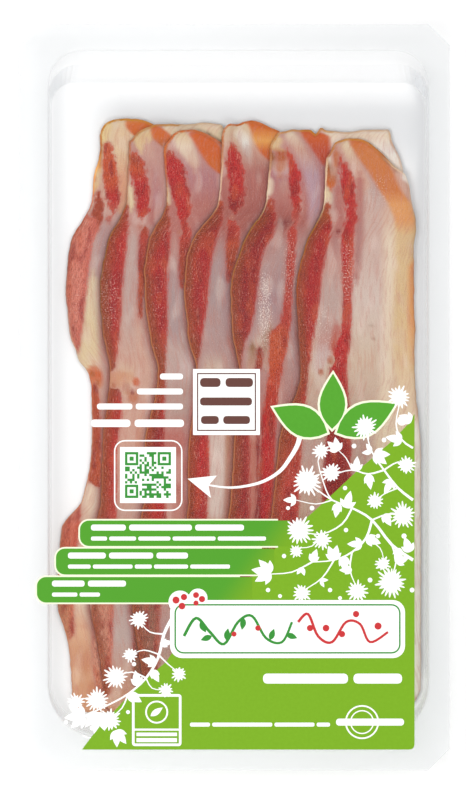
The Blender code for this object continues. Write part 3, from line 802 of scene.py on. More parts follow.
def band_rows(rows, y):
    """A band's left and right edges and tone at the heights y, and how far y is inside its ends."""
    heights, lefts, rights, names = zip(*rows)
    tops = [along(height) for height in heights]
    left = smooth_through(tops, [across(x) for x in lefts], y)
    right = smooth_through(tops, [across(x) for x in rights], y)
    inside = np.minimum(tops[0] - y, y - tops[-1])
    half = (right - left) / 2
    shortest, longest = TAPER_LIMITS
    taper = np.minimum(np.maximum(half * TAPER, shortest), longest)
    narrow = np.sqrt(1 - (1 - np.clip(inside / taper, BLUNT_END, 1)) ** 2)
    middle = (left + right) / 2
    return middle - half * narrow, middle + half * narrow, tones_at(heights, names, y), inside


def toward(tones, name, share):
    return tones + (np.array(meat_tone(name)) - tones) * share[:, None]


def tinted(tones, tint, measure, extent=1.0):
    """Tones with a tint where its measure has reached it, to the given extent."""
    share = tint.strength * smooth_step(measure, tint.start, tint.full) * extent
    return toward(tones, tint.tone, share)


def waves_over(points, waves, number):
    size, stretch, seed = waves
    return wander(points * stretch, size, seed + number)


class Paint:
    """A slice's fat and lean tones, how deep each point lies in lean in millimetres, and how much painted
    sheen it has.
    """

    def __init__(self, number, x, y):
        self.number = number
        self.x = x
        self.y = y
        self.fat = np.tile(meat_tone("pink_cream"), (len(x), 1))
        self.lean = np.tile(meat_tone("lean"), (len(x), 1))
        self.red = np.full(len(x), FAR_FROM_LEAN)
        self.painted_sheen = np.zeros(len(x))
        for item in PAINT[number]:
            if isinstance(item, Fat):
                self.fat_band(item)
            elif isinstance(item, Lean):
                self.lean_band(item)
            else:
                self.spot(item)

    def fat_band(self, band):
        left, right, tone, inside = band_rows(band.rows, self.y)
        beside = np.minimum(self.x - left, right - self.x)
        depth = np.minimum(beside, inside + band.softness * PIXEL)
        share = smooth_step(depth / PIXEL, -band.softness, band.softness)
        self.fat = self.fat + (tone - self.fat) * share[:, None]

    def lean_band(self, band):
        left, right, tone, inside = band_rows(band.rows, self.y)
        beside = np.minimum(self.x - left, right - self.x)
        reach = np.minimum(beside, inside) / MM
        self.red = np.maximum(self.red, reach)
        share = smooth_step(reach, *LEAN_TONE_EDGE)
        self.lean = self.lean + (tone - self.lean) * share[:, None]
        if right.max() - left.min() > WIDE_BAND:
            self.lean = tinted(self.lean, PALER_EDGE, right - self.x, share)

    def spot(self, spot):
        off_x = (self.x - across(spot.x)) / spot.across
        off_y = (self.y - along(spot.y)) / spot.along
        share = smooth_step(np.hypot(off_x, off_y) / PIXEL, *SPOT_EDGE) * spot.strength
        if isinstance(spot, PaintedSheenSpot):
            self.painted_sheen = np.maximum(self.painted_sheen, share)
        else:
            self.fat = toward(self.fat, spot.tone, share)
            self.red = self.red - SPOT_PUSH * share

    def mottle(self, rim):
        """Uneven borders, patches and clouds, and an edge that browns below the head."""
        points = np.stack([self.x, self.y], axis=-1)
        patches = waves_over(points, PATCHES, self.number)
        clouds = waves_over(points, CLOUDS, self.number)
        small = waves_over(points, SMALL_RAGS, self.number)
        ragged = waves_over(points, LARGE_RAGS, self.number) + SMALL_RAGS_SHARE * small
        at_head = above(self.y, RAGS_IN_LEAN_END)
        self.red = self.red + ragged * (RAGS_IN_LEAN + MORE_RAGS_IN_LEAN * at_head)
        self.lean = tinted(self.lean, ORANGE_PATCHES, patches)
        self.lean = tinted(self.lean, DEEP_CLOUDS, clouds)
        plain = 1 - smooth_step(self.fat[:, 0] - self.fat[:, 2], *YELLOW_FAT)
        self.fat = tinted(self.fat, PAINTED_SHEEN_PATCHES, patches, plain)
        self.fat = tinted(self.fat, ROSE_CLOUDS, clouds, plain)
        self.fat = tinted(self.fat, ROSE_BORDER, self.red)
        if self.number + 1 < len(SLICES):
            self.shade(np.abs(edges(SLICES[self.number + 1], self.y)[0] - self.x), clouds)
        browned = below(self.y, BROWN_EDGE_STARTS) * (1.0 if self.number else FIRST_EDGE)
        self.lean = tinted(self.lean, BROWN_EDGE, rim + PATCHES_MOVE_EDGE * patches, browned)
        # Painted light: the lower half's tones are brightened against the shade under the print.
        painted_light = 1 + LOWER_HALF_PAINTED_LIGHT * below(self.y, LOWER_HALF_STARTS)[:, None]
        self.fat = self.fat * painted_light
        self.lean = self.lean * painted_light

    def shade(self, beside, clouds):
        """Darker tones near the next slice's edge, below the heads."""
        shaded = below(self.y, SHADE_STARTS)
        lower = below(self.y, DEEP_SHADE_STARTS)
        self.fat = tinted(self.fat, SHADED_FAT, beside, (SHADE + DEEPER_SHADE * lower) * shaded)
        self.fat = tinted(self.fat, BROWN_FAT, beside + CLOUDS_MOVE_FAT * clouds, lower)
        self.fat = tinted(self.fat, FAT_AT_CONTACT, beside, shaded)
        self.lean = tinted(self.lean, LEAN_AT_CONTACT, beside, shaded)


def outline_distance(points, border):
    """How far each point is from the border, a closed loop of points, in metres."""
    nearest = np.full(len(points), np.inf)
    following = np.roll(border, -1, axis=0)
    for start, end in zip(border, following):
        step = end - start
        length = step @ step
        if length == 0:
            continue
        t = np.clip((points - start) @ step / length, 0, 1)
        offset = points - start - t[:, None] * step
        nearest = np.minimum(nearest, (offset * offset).sum(axis=1))
    return np.sqrt(nearest)


# The rim of a slice's grid as rows and columns, from the head's left corner to the right and round.
RIM = [(0, j) for j in range(COLUMNS + 1)] + [(i, COLUMNS) for i in range(1, ROWS + 1)]
RIM += [(ROWS, j) for j in range(COLUMNS - 1, -1, -1)] + [(i, 0) for i in range(ROWS - 1, 0, -1)]


def slice_grid(number, shape, share, seed):
    """Where a slice's points lie, row by row from its head, and its left edge in each row."""
    heights = shape.head * MM + (SLICE_FOOT - shape.head * MM) * crowded(ROWS, ROW_CROWDING)
    left, right = edges(shape, heights)
    column = np.array([(y, 0.0) for y in heights])
    (large, large_size), (small, small_size) = LEFT_RAGS
    left = left + (large * wander(column, large_size, seed) + small * wander(column, small_size, seed + 1))
    right = right + RIGHT_RAGS[0] * wander(column, RIGHT_RAGS[1], seed + 2)
    x = left[:, None] + np.outer(right - left, share)
    y = np.repeat(heights[:, None], COLUMNS + 1, axis=1)
    for warp_x, warp_y, move_x, move_y, reach_x, reach_y in WARPS[number]:
        off_x = (x - across(warp_x)) / (reach_x * PIXEL)
        off_y = (y - along(warp_y)) / (reach_y * PIXEL)
        pull = np.exp(-(off_x**2) - off_y**2) * PIXEL
        x = x + move_x * pull
        y = y - move_y * pull
    nearness = smooth_step(shape.head * MM - y, HEAD_RAGS_END, 0.0)
    head_points = np.array([(value, 1.0) for value in x[0]])
    y = y + nearness * (HEAD_RAGS[0] * wander(head_points, HEAD_RAGS[1], seed + 3))[None, :]
    return x, y, left


def slice_skins(points, red, rim, floor, seed):
    """The heights of a slice's upper and lower skin over the floor that it lies on."""
    (large, large_size), (small, small_size) = RELIEF
    relief = large * wander(points, large_size, seed + 4)
    relief = relief + small * wander(points * SMALL_RELIEF_SCALE, small_size, seed + 5)
    sunk = SINK + relief + LEAN_SINK * smooth_step(red, *LEAN_SINK_EDGE)
    depth, reach = UPPER_ROUNDING
    upper = floor + SLICE - (sunk.clip(0.0, SINK_LIMIT) * MM + depth * (1 - smooth_step(rim, 0.0, reach)))
    depth, reach = LOWER_ROUNDING
    return upper, floor + depth * (1 - smooth_step(rim, 0.0, reach))


def rim_middle(border, upper, lower):
    """A ring of points round the middle of the rim, a little outside it."""
    way = np.roll(border, -1, axis=0) - np.roll(border, 1, axis=0)
    outward = np.stack([-way[:, 1], way[:, 0]], axis=-1)
    outward = outward / np.maximum(np.linalg.norm(outward, axis=1), 1e-9)[:, None]
    middle = border + outward * RIM_BULGE * MM
    return np.concatenate([middle, ((upper + lower) / 2)[:, None]], axis=1)


def slice_faces(index, ring):
    """Faces of the upper skin, the lower skin and, round the rim, both its halves."""
    count = index.size
    faces = []
    for i in range(ROWS):
        for j in range(COLUMNS):
            a, b, c, d = index[i, j], index[i + 1, j], index[i + 1, j + 1], index[i, j + 1]
            faces.append((a, b, c, d))
            faces.append((d + count, c + count, b + count, a + count))
    for k, here in enumerate(ring):
        following = (k + 1) % len(ring)
        there = ring[following]
        here_middle = 2 * count + k
        there_middle = 2 * count + following
        faces.append((here, there, there_middle, here_middle))
        faces.append((here_middle, there_middle, there + count, here + count))
    return [tuple(int(v) for v in face) for face in faces]


def dried_line(number, share, points, rim, seed):
    """The tone and strength of the dried line along the edge, and how far each point is from it."""
    y = points[:, 1]
    heights, names, strengths = zip(*EDGES[number])
    # Painted light: the dried line too is brightened in the lower half.
    lower_painted_light = 1 + LOWER_HALF_PAINTED_LIGHT * below(y, LOWER_HALF_STARTS)[:, None]
    at_head = above(y, PAINTED_LIGHT_LINES_END)
    # Painted light at the heads lightens the line against the shade of the steep rim.
    tone = tones_at(heights, names, y) * lower_painted_light * (1 + HEAD_LINE_PAINTED_LIGHT * at_head)[:, None]
    on_left = np.tile(share, ROWS + 1) < 0.5
    on_right = np.where(y > along(HEAD_LINE_END), HEAD_LINES[number], BELOW_HEAD_LINE)
    strength = np.interp(-y, [-along(height) for height in heights], strengths)
    strength = strength * np.where(on_left, 1.0, on_right)
    breaks = smooth_step(wander(points, BREAK_SIZE, seed + 6), *BREAK_EDGE)
    strength = strength * (1 - HEAD_LINE_BREAKS * at_head * breaks)
    return tone, strength, rim / MM - WIDER_AT_HEAD * above(y, WIDE_LINES_END)


def write_layers(mesh, kind, slot, layers):
    """Values for each point, by name, that the material reads."""
    for name, values in layers.items():
        layer = mesh.attributes.new(name, kind, "POINT")
        layer.data.foreach_set(slot, values.ravel())


def add_slice(number, shape, pile, material):
    """A soft slice with a rounded, ragged rim, laid on the pile."""
    seed = SEED_STEP * number
    share = np.linspace(0, 1, COLUMNS + 1)
    share = share * (1 - COLUMN_CROWDING) + COLUMN_CROWDING * share**2
    x, y, left = slice_grid(number - 1, shape, share, seed)
    border = np.array([(x[i, j], y[i, j]) for i, j in RIM])
    points = np.stack([x.ravel(), y.ravel()], axis=-1)
    count = len(points)
    index = np.arange(count).reshape(ROWS + 1, COLUMNS + 1)
    ring = np.array([index[i, j] for i, j in RIM])
    rim = outline_distance(points, border)
    paint = Paint(number - 1, points[:, 0], points[:, 1])
    paint.mottle(rim)

    floor = pile.draped(points[:, 0], points[:, 1]) + SLICE_GAP
    upper, lower = slice_skins(points, paint.red, rim, floor, seed)
    skins = [np.concatenate([points, heights[:, None]], axis=1) for heights in (upper, lower)]
    vertices = np.concatenate([*skins, rim_middle(border, upper[ring], lower[ring])])
    mesh = bpy.data.meshes.new(f"meat_{number}")
    mesh.from_pydata(vertices.tolist(), [], slice_faces(index, ring))
    mesh.validate()
    mesh.update()
    mesh.shade_smooth()

    rind, edge, line_reach = dried_line(number - 1, share, points, rim, seed)
    from_left = (points[:, 0] - np.repeat(left, COLUMNS + 1)) / MM
    strand = np.stack([from_left, points[:, 1] / MM, np.full(count, STRAND_STEP * number)], axis=-1)
    source = np.concatenate([np.arange(count), np.arange(count), ring])
    tones = {"fat": paint.fat, "lean": paint.lean, "rind": rind}
    opaque = np.ones((len(source), 1))
    tones = {name: np.concatenate([tone[source], opaque], axis=1) for name, tone in tones.items()}
    values = {"red": paint.red, "rim": line_reach, "edge": edge, "painted_sheen": paint.painted_sheen}
    write_layers(mesh, "FLOAT_COLOR", "color", tones)
    write_layers(mesh, "FLOAT", "value", {name: value[source] for name, value in values.items()})
    write_layers(mesh, "FLOAT_VECTOR", "vector", {"strand": strand[source]})

    mesh.materials.append(material)
    piece = add_object(f"meat_{number}", mesh)
    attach(piece, "root")
    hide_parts(f"slice_{number}")


def lay_slices():
    pile = Pile()
    material = cured_pork()
    for number, shape in enumerate(SLICES, start=1):
        pile.drape()
        add_slice(number, shape, pile, material)
        pile.grow(shape)


# Tray and film


def dress_plastic():
    """Clear plastic on both; the film is thin enough to let the light through."""
    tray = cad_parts["tray"]
    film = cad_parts["lid_film"]
    for node, name, look in ((tray, "clear_tray", CLEAR_TRAY), (film, "clear_film", CLEAR_FILM)):
        node.data.materials.clear()
        node.data.materials.append(clear_plastic(name, look))
    film.visible_shadow = False


# The print on the film

# Each colour is a thin layer on the film, or on the layer below it, and its shapes' tops differ by
# small steps.
INK = 0.05 * MM
INK_SINKS = 0.01 * MM
INK_STEP = 0.0025 * MM
INK_STEPS = 14
INK_GLOSS = 0.25
INK_ROUGHNESS = 0.45
INK_GRAIN = (900.0, 900.0, 1.0)

INKS = {
    "leaf_green": (116, 167, 6), "grass_green": (76, 157, 29), "deep_green": (44, 138, 44),
    "white": (253, 254, 250), "cream": (238, 242, 214), "red": (196, 42, 46), "brown": (96, 56, 48),
}


def ink(name):
    """An ink that the press lays down a little unevenly."""
    nodes = Nodes(f"ink_{name}")
    press = nodes.noise(nodes.place(), INK_GRAIN, 1.0)
    tone = linear(INKS[name])
    weak = tuple(min(value * 1.10 + 0.004, 1.0) for value in tone)
    nodes.set(Base_Color=nodes.mix(press, (*tone, 1.0), (*weak, 1.0)), Roughness=INK_ROUGHNESS)
    nodes.set(Specular_IOR_Level=INK_GLOSS)
    return nodes.material


def fading_ink(name, other, start, end, slope, height):
    """One ink that turns into another from start to end, across at a height, further right above it."""
    nodes = Nodes(f"ink_{name}_to_{other}")
    where = nodes.parts(nodes.place())
    level = nodes.math("MULTIPLY_ADD", where["Y"], -slope, where["X"])
    middle = -slope * along(height)
    share = nodes.ramp(level, across(start) + middle, across(end) + middle)
    nodes.set(Base_Color=nodes.mix(share, rgba(INKS[name]), rgba(INKS[other])), Roughness=INK_ROUGHNESS)
    nodes.set(Specular_IOR_Level=INK_GLOSS)
    return nodes.material


def rounded(left, top, right, bottom, radius, steps=6):
    """A rectangle with rounded corners; radius may be one size or one for each corner."""
    radii = radius if isinstance(radius, tuple) else (radius,) * 4
    corners = [(right, bottom, -1, -1), (left, bottom, 1, -1), (left, top, 1, 1), (right, top, -1, 1)]
    points = []
    for quarter, ((x, y, way_x, way_y), size) in enumerate(zip(corners, radii)):
        for step in range(steps + 1):
            angle = math.pi / 2 * (quarter + step / steps)
            point_x = x + way_x * size + size * math.cos(angle)
            point_y = y + way_y * size + size * math.sin(angle)
            points.append((point_x, point_y))
    return points


def disc(x, y, radius, count):
    angles = [2 * math.pi * i / count for i in range(count)]
    return [(x + radius * math.cos(angle), y + radius * math.sin(angle)) for angle in angles]


def leaf(x, y, angle, length, width, count=9):
    """A pointed oval from its stalk's end at x, y along the angle, in degrees."""
    way = math.radians(angle)
    points = []
    for side in (1, -1):
        for i in range(count):
            t = i / count if side == 1 else 1 - i / count
            bulge = side * width / 2 * math.sin(math.pi * t**0.85)
            point_x = x + length * t * math.cos(way) - bulge * math.sin(way)
            point_y = y + length * t * math.sin(way) + bulge * math.cos(way)
            points.append((point_x, point_y))
    return points


def burst(x, y, radius, spikes, chance, depth=0.42):
    """A thistle's head seen from above: one outline with uneven thin spikes."""
    points = []
    turn = chance.random() * math.pi
    for i in range(spikes):
        angle = 2 * math.pi * (i + 0.3 * chance.random()) / spikes + turn
        tip = radius * (0.78 + 0.30 * chance.random())
        root = radius * (1 - depth) * (0.85 + 0.25 * chance.random())
        half = math.pi / spikes
        beside = 0.30 * half
        near_tip = tip * 0.93
        for offset, reach in ((-beside, near_tip), (0.0, tip), (beside, near_tip), (half, root)):
            points.append((x + reach * math.cos(angle + offset), y + reach * math.sin(angle + offset)))
    return points


def tuft(x, y, angle, fan, leaves, length, width):
    """A fan of leaves from one point: the middle ones are longest."""
    outlines = []
    for i in range(leaves):
        t = i / (leaves - 1) * 2 - 1
        size = 1 - 0.35 * t * t
        outlines.append(leaf(x, y, angle + fan / 2 * t, length * size, width * size, 6))
    return outlines


def curve_point(a, b, c, d, t):
    """One coordinate of the curve from b to c at t, with a and d beyond them."""
    return 0.5 * (2 * b + (c - a) * t + (2 * a - 5 * b + 4 * c - d) * t**2 + (3 * b - a - 3 * c + d) * t**3)


def smooth_path(points, steps):
    """A smooth curve through the points."""
    padded = [points[0], *points, points[-1]]
    path = []
    for corners in zip(padded, padded[1:], padded[2:], padded[3:]):
        for step in range(steps):
            path.append(tuple(curve_point(*coordinates, step / steps) for coordinates in zip(*corners)))
    path.append(points[-1])
    return path


def sides_of(points, start_width, end_width, steps):
    """The two sides of a stroke along a smooth path, from one width to another."""
    path = smooth_path(points, steps)
    left = []
    right = []
    for i, (x, y) in enumerate(path):
        x0, y0 = path[max(i - 1, 0)]
        x1, y1 = path[min(i + 1, len(path) - 1)]
        size = math.hypot(x1 - x0, y1 - y0) or 1.0
        width = start_width + (end_width - start_width) * i / (len(path) - 1)
        nx, ny = -(y1 - y0) / size * width / 2, (x1 - x0) / size * width / 2
        left.append((x + nx, y + ny))
        right.append((x - nx, y - ny))
    return left, right


class Layer:
    """One printed colour: flat shapes with a little thickness, in one mesh."""

    def __init__(self, name, colour, level):
        self.name = name
        self.colour = colour
        self.low = FILM_TOP + level * INK - INK_SINKS
        self.top = FILM_TOP + (level + 1) * INK
        self.high = self.top
        self.count = 0
        self.mesh = bmesh.new()

    def step_up(self):
        """The next shape ends a little higher or lower, so overlapping tops never share a plane."""
        self.high = self.top + (self.count % INK_STEPS) * INK_STEP
        self.count += 1

    def loop(self, points, z):
        return [self.mesh.verts.new((across(x), along(y), z)) for x, y in points]

    def walls(self, low, high):
        for i, corner in enumerate(low):
            following = (i + 1) % len(low)
            self.mesh.faces.new((corner, low[following], high[following], high[i]))

    def shape(self, points, fan=True):
        """A filled outline, given in either direction, as a fan round its middle or as one face."""
        area = sum(a[0] * b[1] - b[0] * a[1] for a, b in zip(points, points[1:] + points[:1]))
        points = points if area < 0 else points[::-1]
        self.step_up()
        low = self.loop(points, self.low)
        high = self.loop(points, self.high)
        if fan:
            middle = (sum(x for x, y in points) / len(points), sum(y for x, y in points) / len(points))
            low_middle, high_middle = (self.loop([middle], z)[0] for z in (self.low, self.high))
            for i in range(len(points)):
                following = (i + 1) % len(points)
                self.mesh.faces.new((low[following], low[i], low_middle))
                self.mesh.faces.new((high[i], high[following], high_middle))
        else:
            self.mesh.faces.new(low[::-1])
            self.mesh.faces.new(high)
        self.walls(low, high)

    def panel(self, left, top, right, bottom, radius, steps=6):
        self.shape(rounded(left, top, right, bottom, radius, steps))

    def frame(self, outer, inner):
        """The band between two outlines with as many points each."""
        self.step_up()
        loops = [self.loop(points, z) for points in (outer, inner) for z in (self.low, self.high)]
        order = (loops[0], loops[1], loops[3], loops[2])
        for first, second in zip(order, order[1:] + order[:1]):
            self.walls(first, second)

    def stroke(self, points, start_width, end_width, steps=6):
        """A stroke along a smooth path through the points."""
        self.step_up()
        left, right = sides_of(points, start_width, end_width, steps)
        rows = [self.loop(side, z) for side in (left, right) for z in (self.low, self.high)]
        corners = [[rows[0][i], rows[1][i], rows[3][i], rows[2][i]] for i in range(len(left))]
        for first, second in zip(corners, corners[1:]):
            self.walls(first, second)
        self.mesh.faces.new(corners[0][::-1])
        self.mesh.faces.new(corners[-1])

    def line(self, left, top, right, bottom, radius, width):
        """A rectangle's line with rounded corners."""
        inner = rounded(left + width, top + width, right - width, bottom - width, max(radius - width, 0.2))
        self.frame(rounded(left, top, right, bottom, radius), inner)

    def ring(self, x, y, radius, inner_radius, count):
        self.frame(disc(x, y, radius, count), disc(x, y, inner_radius, count))

    def words(self, left, right, top, bottom, lengths):
        """A line of plain bars in place of words."""
        gap = (bottom - top) * 0.55
        unit = (right - left - gap * (len(lengths) - 1)) / sum(lengths)
        for length in lengths:
            self.panel(left, top, left + unit * length, bottom, (bottom - top) * 0.4, 3)
            left += unit * length + gap

    def finish(self):
        bmesh.ops.triangulate(self.mesh, faces=[face for face in self.mesh.faces if len(face.verts) > 4])
        bmesh.ops.recalc_face_normals(self.mesh, faces=self.mesh.faces[:])
        data = bpy.data.meshes.new(self.name)
        self.mesh.to_mesh(data)
        self.mesh.free()
        data.materials.append(self.colour)
        piece = add_object(self.name, data)
        piece.visible_shadow = False  # ink is thin enough to let the light through
        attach(piece, "root")


# The light-green field's outline.
FIELD = [
    (414.5, 414), (408, 424), (392, 441), (375, 456), (358, 470), (340, 487), (324, 502), (312, 513),
    (300, 523), (286, 536), (272, 552), (252, 577), (225, 600), (184, 604), (174, 650), (166, 662),
    (153, 673), (134, 690), (117, 708), (105, 720), (92, 736), (82, 749.5), (410, 749.5),
    (413.2, 748.2), (414.5, 745),
]

# Each banner: left, top, right and bottom. Its left corners are round, and its cream edging is wider.
BANNERS = [(80, 520.5, 290, 546), (56, 548.5, 274, 574.5), (37, 577, 252, 602.5)]
BANNER_CORNERS = (0.3, 9, 9, 0.3)
EDGING_CORNERS = (0.3, 10.5, 10.5, 0.3)
EDGING = 1.6
EDGING_ENDS = 12
BANNER_FADE = (238, 282)
BANNER_FADE_SLOPE = 0.7
BANNER_FADE_HEIGHT = 560

# Plain bars in place of words: left, right, top, bottom and the words' lengths.
BANNER_WORDS = [
    (91, 244, 524.5, 530.5, (5, 9, 7)), (91, 266, 536.5, 540.5, (3, 5, 6, 8, 9)),
    (68, 188, 552.5, 558.5, (6, 7, 5)), (68, 230, 564.5, 568.5, (4, 7, 3, 6, 7)),
    (52, 126, 580.5, 586.5, (6, 7)), (52, 100, 592.5, 596.5, (5, 4)),
]
SIDE_WORDS = [
    (160, 183, 373.5, 379.5, (1,)), (137, 183, 388.5, 394.5, (1,)), (97, 183, 403.5, 409.5, (3, 4)),
    (91, 184, 419.5, 427.0, (4, 5)),
]
FIELD_WORDS = [(263, 402, 673.5, 683.5, (7, 4)), (190, 330, 722.5, 726.5, (3, 9, 6, 2))]
BOX_WORDS = [(200, 253, 378, 387, (3, 4)), (200, 252, 397.5, 405.5, (1,)), (201, 250, 416, 424, (2, 3))]

ARROW = [
    (299.5, 438), (297, 446), (290, 458), (280, 471), (264, 481), (246, 486), (228, 487.5), (208, 485),
]
ARROW_HEAD = [(187.5, 478.7), (217, 475.5), (208.5, 485.5), (211, 498)]
ARROW_WIDTHS = (5.0, 1.6)
# Three broad leaves on one stalk: x, y, angle, length and width, and how much smaller the green is.
BROAD_LEAVES = [(330, 434, 205, 66, 34), (332, 432, 271, 62, 30), (334, 434, 334, 72, 36)]
STALK = 3
SHORTER = 6.5
NARROWER = 4.5

# Twigs: points, width at the start and at the end.
TWIGS = [
    ([(413, 560), (392, 545), (372, 520), (352, 508), (332, 500), (312, 486)], 3.2, 1.2),
    ([(413, 500), (398, 488), (384, 470), (372, 452), (366, 432)], 2.8, 1.0),
    ([(384, 470), (368, 474), (352, 470), (334, 474)], 2.0, 0.9),
    ([(413, 448), (402, 440), (396, 424), (400, 402)], 2.2, 0.9),
    ([(372, 520), (366, 538), (352, 552), (334, 560), (312, 562)], 2.6, 1.0),
    ([(352, 552), (350, 570), (356, 586)], 1.8, 0.9),
    ([(392, 545), (396, 562), (390, 580)], 2.0, 0.9),
    ([(312, 562), (292, 572), (270, 574)], 1.8, 0.9),
    ([(334, 560), (322, 578), (304, 590)], 1.8, 0.9),
    ([(352, 508), (342, 524), (322, 534), (302, 532)], 2.0, 0.9),
    ([(384, 470), (398, 462), (410, 466)], 1.8, 0.9),
    ([(372, 520), (388, 514), (402, 516)], 1.8, 0.9),
    ([(398, 488), (384, 494), (374, 502)], 1.4, 0.8),
    ([(332, 500), (326, 490), (318, 462), (322, 452)], 1.6, 0.7),
    ([(332, 500), (316, 504), (296, 500)], 1.4, 0.7),
    ([(352, 470), (346, 458), (338, 450)], 1.4, 0.7),
    ([(322, 534), (312, 546), (296, 548)], 1.4, 0.7),
    ([(366, 538), (380, 548), (384, 562)], 1.4, 0.7),
    ([(172, 618), (164, 634), (158, 658), (146, 678), (128, 694), (106, 706), (84, 716)], 3.4, 1.2),
    ([(164, 634), (150, 632), (140, 622)], 1.8, 0.8),
    ([(158, 654), (168, 664), (178, 672)], 1.8, 0.8),
    ([(146, 678), (132, 672), (116, 676)], 1.8, 0.8),
    ([(128, 694), (122, 708), (110, 718)], 1.8, 0.8),
    ([(106, 706), (92, 698), (78, 700)], 1.6, 0.8),
    ([(158, 654), (144, 650), (132, 654)], 1.6, 0.7),
    ([(146, 678), (152, 688), (164, 690)], 1.4, 0.7),
]

# Thistle heads: x, y, radius and spikes.
BURSTS = [
    (307, 481, 16, 19), (331, 473, 11, 15), (299, 530, 15, 18), (322, 540, 10, 14), (365, 427, 13, 17),
    (399, 397, 12, 16), (406, 465, 10, 14), (403, 515, 14, 18), (375, 501, 9, 13), (391, 582, 16, 20),
    (357, 591, 11, 15), (383, 564, 8, 12), (302, 593, 10, 14), (321, 451, 9, 13), (296, 551, 7, 12),
    (139, 619, 10, 14), (116, 677, 13, 17), (97, 700, 13, 18), (76, 702, 9, 14), (166, 690, 8, 12),
    (130, 655, 8, 12), (110, 720, 12, 16), (179, 674, 8, 12),
]

# Fans of leaves: x, y, angle, fan, leaves, length and width.
TUFTS = [
    (346, 508, 285, 90, 3, 18, 8), (338, 503, 100, 60, 3, 15, 7), (374, 454, 20, 110, 4, 17, 8),
    (372, 452, 205, 60, 2, 16, 8), (392, 480, 120, 90, 3, 16, 7), (356, 471, 275, 80, 3, 15, 7),
    (368, 474, 80, 60, 3, 16, 7), (366, 538, 20, 70, 3, 16, 8), (362, 544, 180, 90, 3, 15, 7),
    (334, 560, 265, 100, 4, 16, 8), (343, 556, 80, 60, 3, 17, 8), (312, 562, 290, 70, 3, 14, 7),
    (302, 567, 100, 50, 2, 14, 7), (271, 573, 190, 150, 5, 20, 9), (320, 580, 30, 60, 2, 13, 6),
    (396, 562, 340, 80, 3, 14, 7), (402, 440, 190, 90, 3, 17, 8), (398, 424, 320, 60, 3, 15, 7),
    (410, 552, 250, 80, 3, 16, 8), (400, 548, 110, 60, 3, 15, 7), (384, 514, 60, 70, 3, 14, 7),
    (338, 451, 240, 110, 4, 15, 7), (296, 500, 180, 100, 3, 13, 6), (352, 570, 180, 60, 3, 13, 6),
    (412, 420, 200, 90, 3, 14, 7), (160, 644, 350, 60, 3, 13, 6), (156, 662, 190, 80, 3, 15, 7),
    (152, 670, 60, 60, 3, 14, 7), (138, 686, 260, 70, 3, 16, 8), (128, 694, 30, 60, 3, 16, 8),
    (84, 716, 175, 150, 5, 20, 9), (98, 712, 100, 120, 5, 22, 9), (116, 730, 70, 100, 4, 18, 8),
    (140, 624, 250, 90, 3, 12, 6),
]

# Berries: x, y and radius.
BERRIES = [
    (312, 508, 2.4), (345, 488, 2.2), (384, 440, 2.4), (354, 446, 2.4), (404, 536, 2.6),
    (370, 580, 2.4), (330, 590, 2.2), (284, 556, 2.2), (378, 536, 2.2), (150, 664, 2.0),
    (134, 664, 2.2), (92, 728, 2.4), (66, 722, 2.2), (128, 712, 2.0), (288, 508, 2.0), (346, 530, 2.2),
    (412, 590, 2.4), (340, 598, 2.0), (280, 596, 2.0), (268, 590, 2.2),
]

# The white plate with its two lobes, its green line, and its vine: green on the left, with leaves of
# x, y and angle, and red on the right, with berries of x, y and radius.
PLATE = (170, 600, 405, 658, 12)
PLATE_LOBES = [(180, 602, 11.5), (198, 598, 9.5)]
PLATE_LINE = (174.5, 604, 400.5, 653.5, 9, 1.5)
VINE = [
    (184, 636), (196, 618), (210, 632), (224, 644), (238, 622), (252, 616), (266, 638), (282, 642),
    (292, 622),
]
VINE_WIDTHS = (3.0, 2.4)
VINE_LEAVES = [
    (200, 622, 60), (226, 640, 280), (244, 618, 100), (270, 640, 290), (212, 636, 160), (286, 634, 20),
]
VINE_LEAF = (12, 6, 6)
RED_VINE = [
    (298, 622), (308, 614), (318, 636), (332, 642), (346, 622), (360, 624), (370, 642), (388, 632),
]
RED_VINE_WIDTHS = (2.8, 2.4)
RED_BERRIES = [
    (176, 600, 3.6), (184, 597, 3.2), (182, 606, 3.4), (196, 595, 3.0), (202, 599, 3.2), (196, 603, 2.6),
    (310, 628, 3.2), (326, 628, 3.4), (342, 634, 3.2), (356, 614, 3.2), (378, 626, 3.6), (234, 634, 2.6),
    (258, 628, 2.8),
]

# The box of bars with its brown line, and the code's white ground in its frame.
BOX = (193, 369, 260, 435, 0.5)
BOX_LINE = (197, 373, 256, 431, 0.5, 1.2)
CODE_GROUND = (120, 447, 176, 503, 0.5)
CODE_FRAME = (114, 440, 182.5, 511, 11, 1.4)
CODE_LEFT = 125.0
CODE_TOP = 452.0
CODE_SIZE = 46.0
CODE_CELLS = 19
CODE_DENSITY = 0.48

# The framed square with three bars, a ring and a leaf, and the roundel with its bar.
SQUARE = (132, 694, 181.5, 746, 3, 2.6)
SQUARE_BARS = [
    (134, 728.5, 179.5, 730.5, 0.3, 2),
    (136.5, 732.5, 177, 736.0, 0.3, 2),
    (136.5, 738.0, 177, 742.0, 0.3, 2),
]
SQUARE_RING = (156.7, 712, 11.5, 9.8, 32)
SQUARE_LEAF = (150.5, 716, 325, 15, 6)
ROUNDEL = [(362, 722, 17, 15.4, 40), (362, 722, 12, 10.8, 32)]
ROUNDEL_BAR = (336, 718.5, 404, 725.5, 3.2)


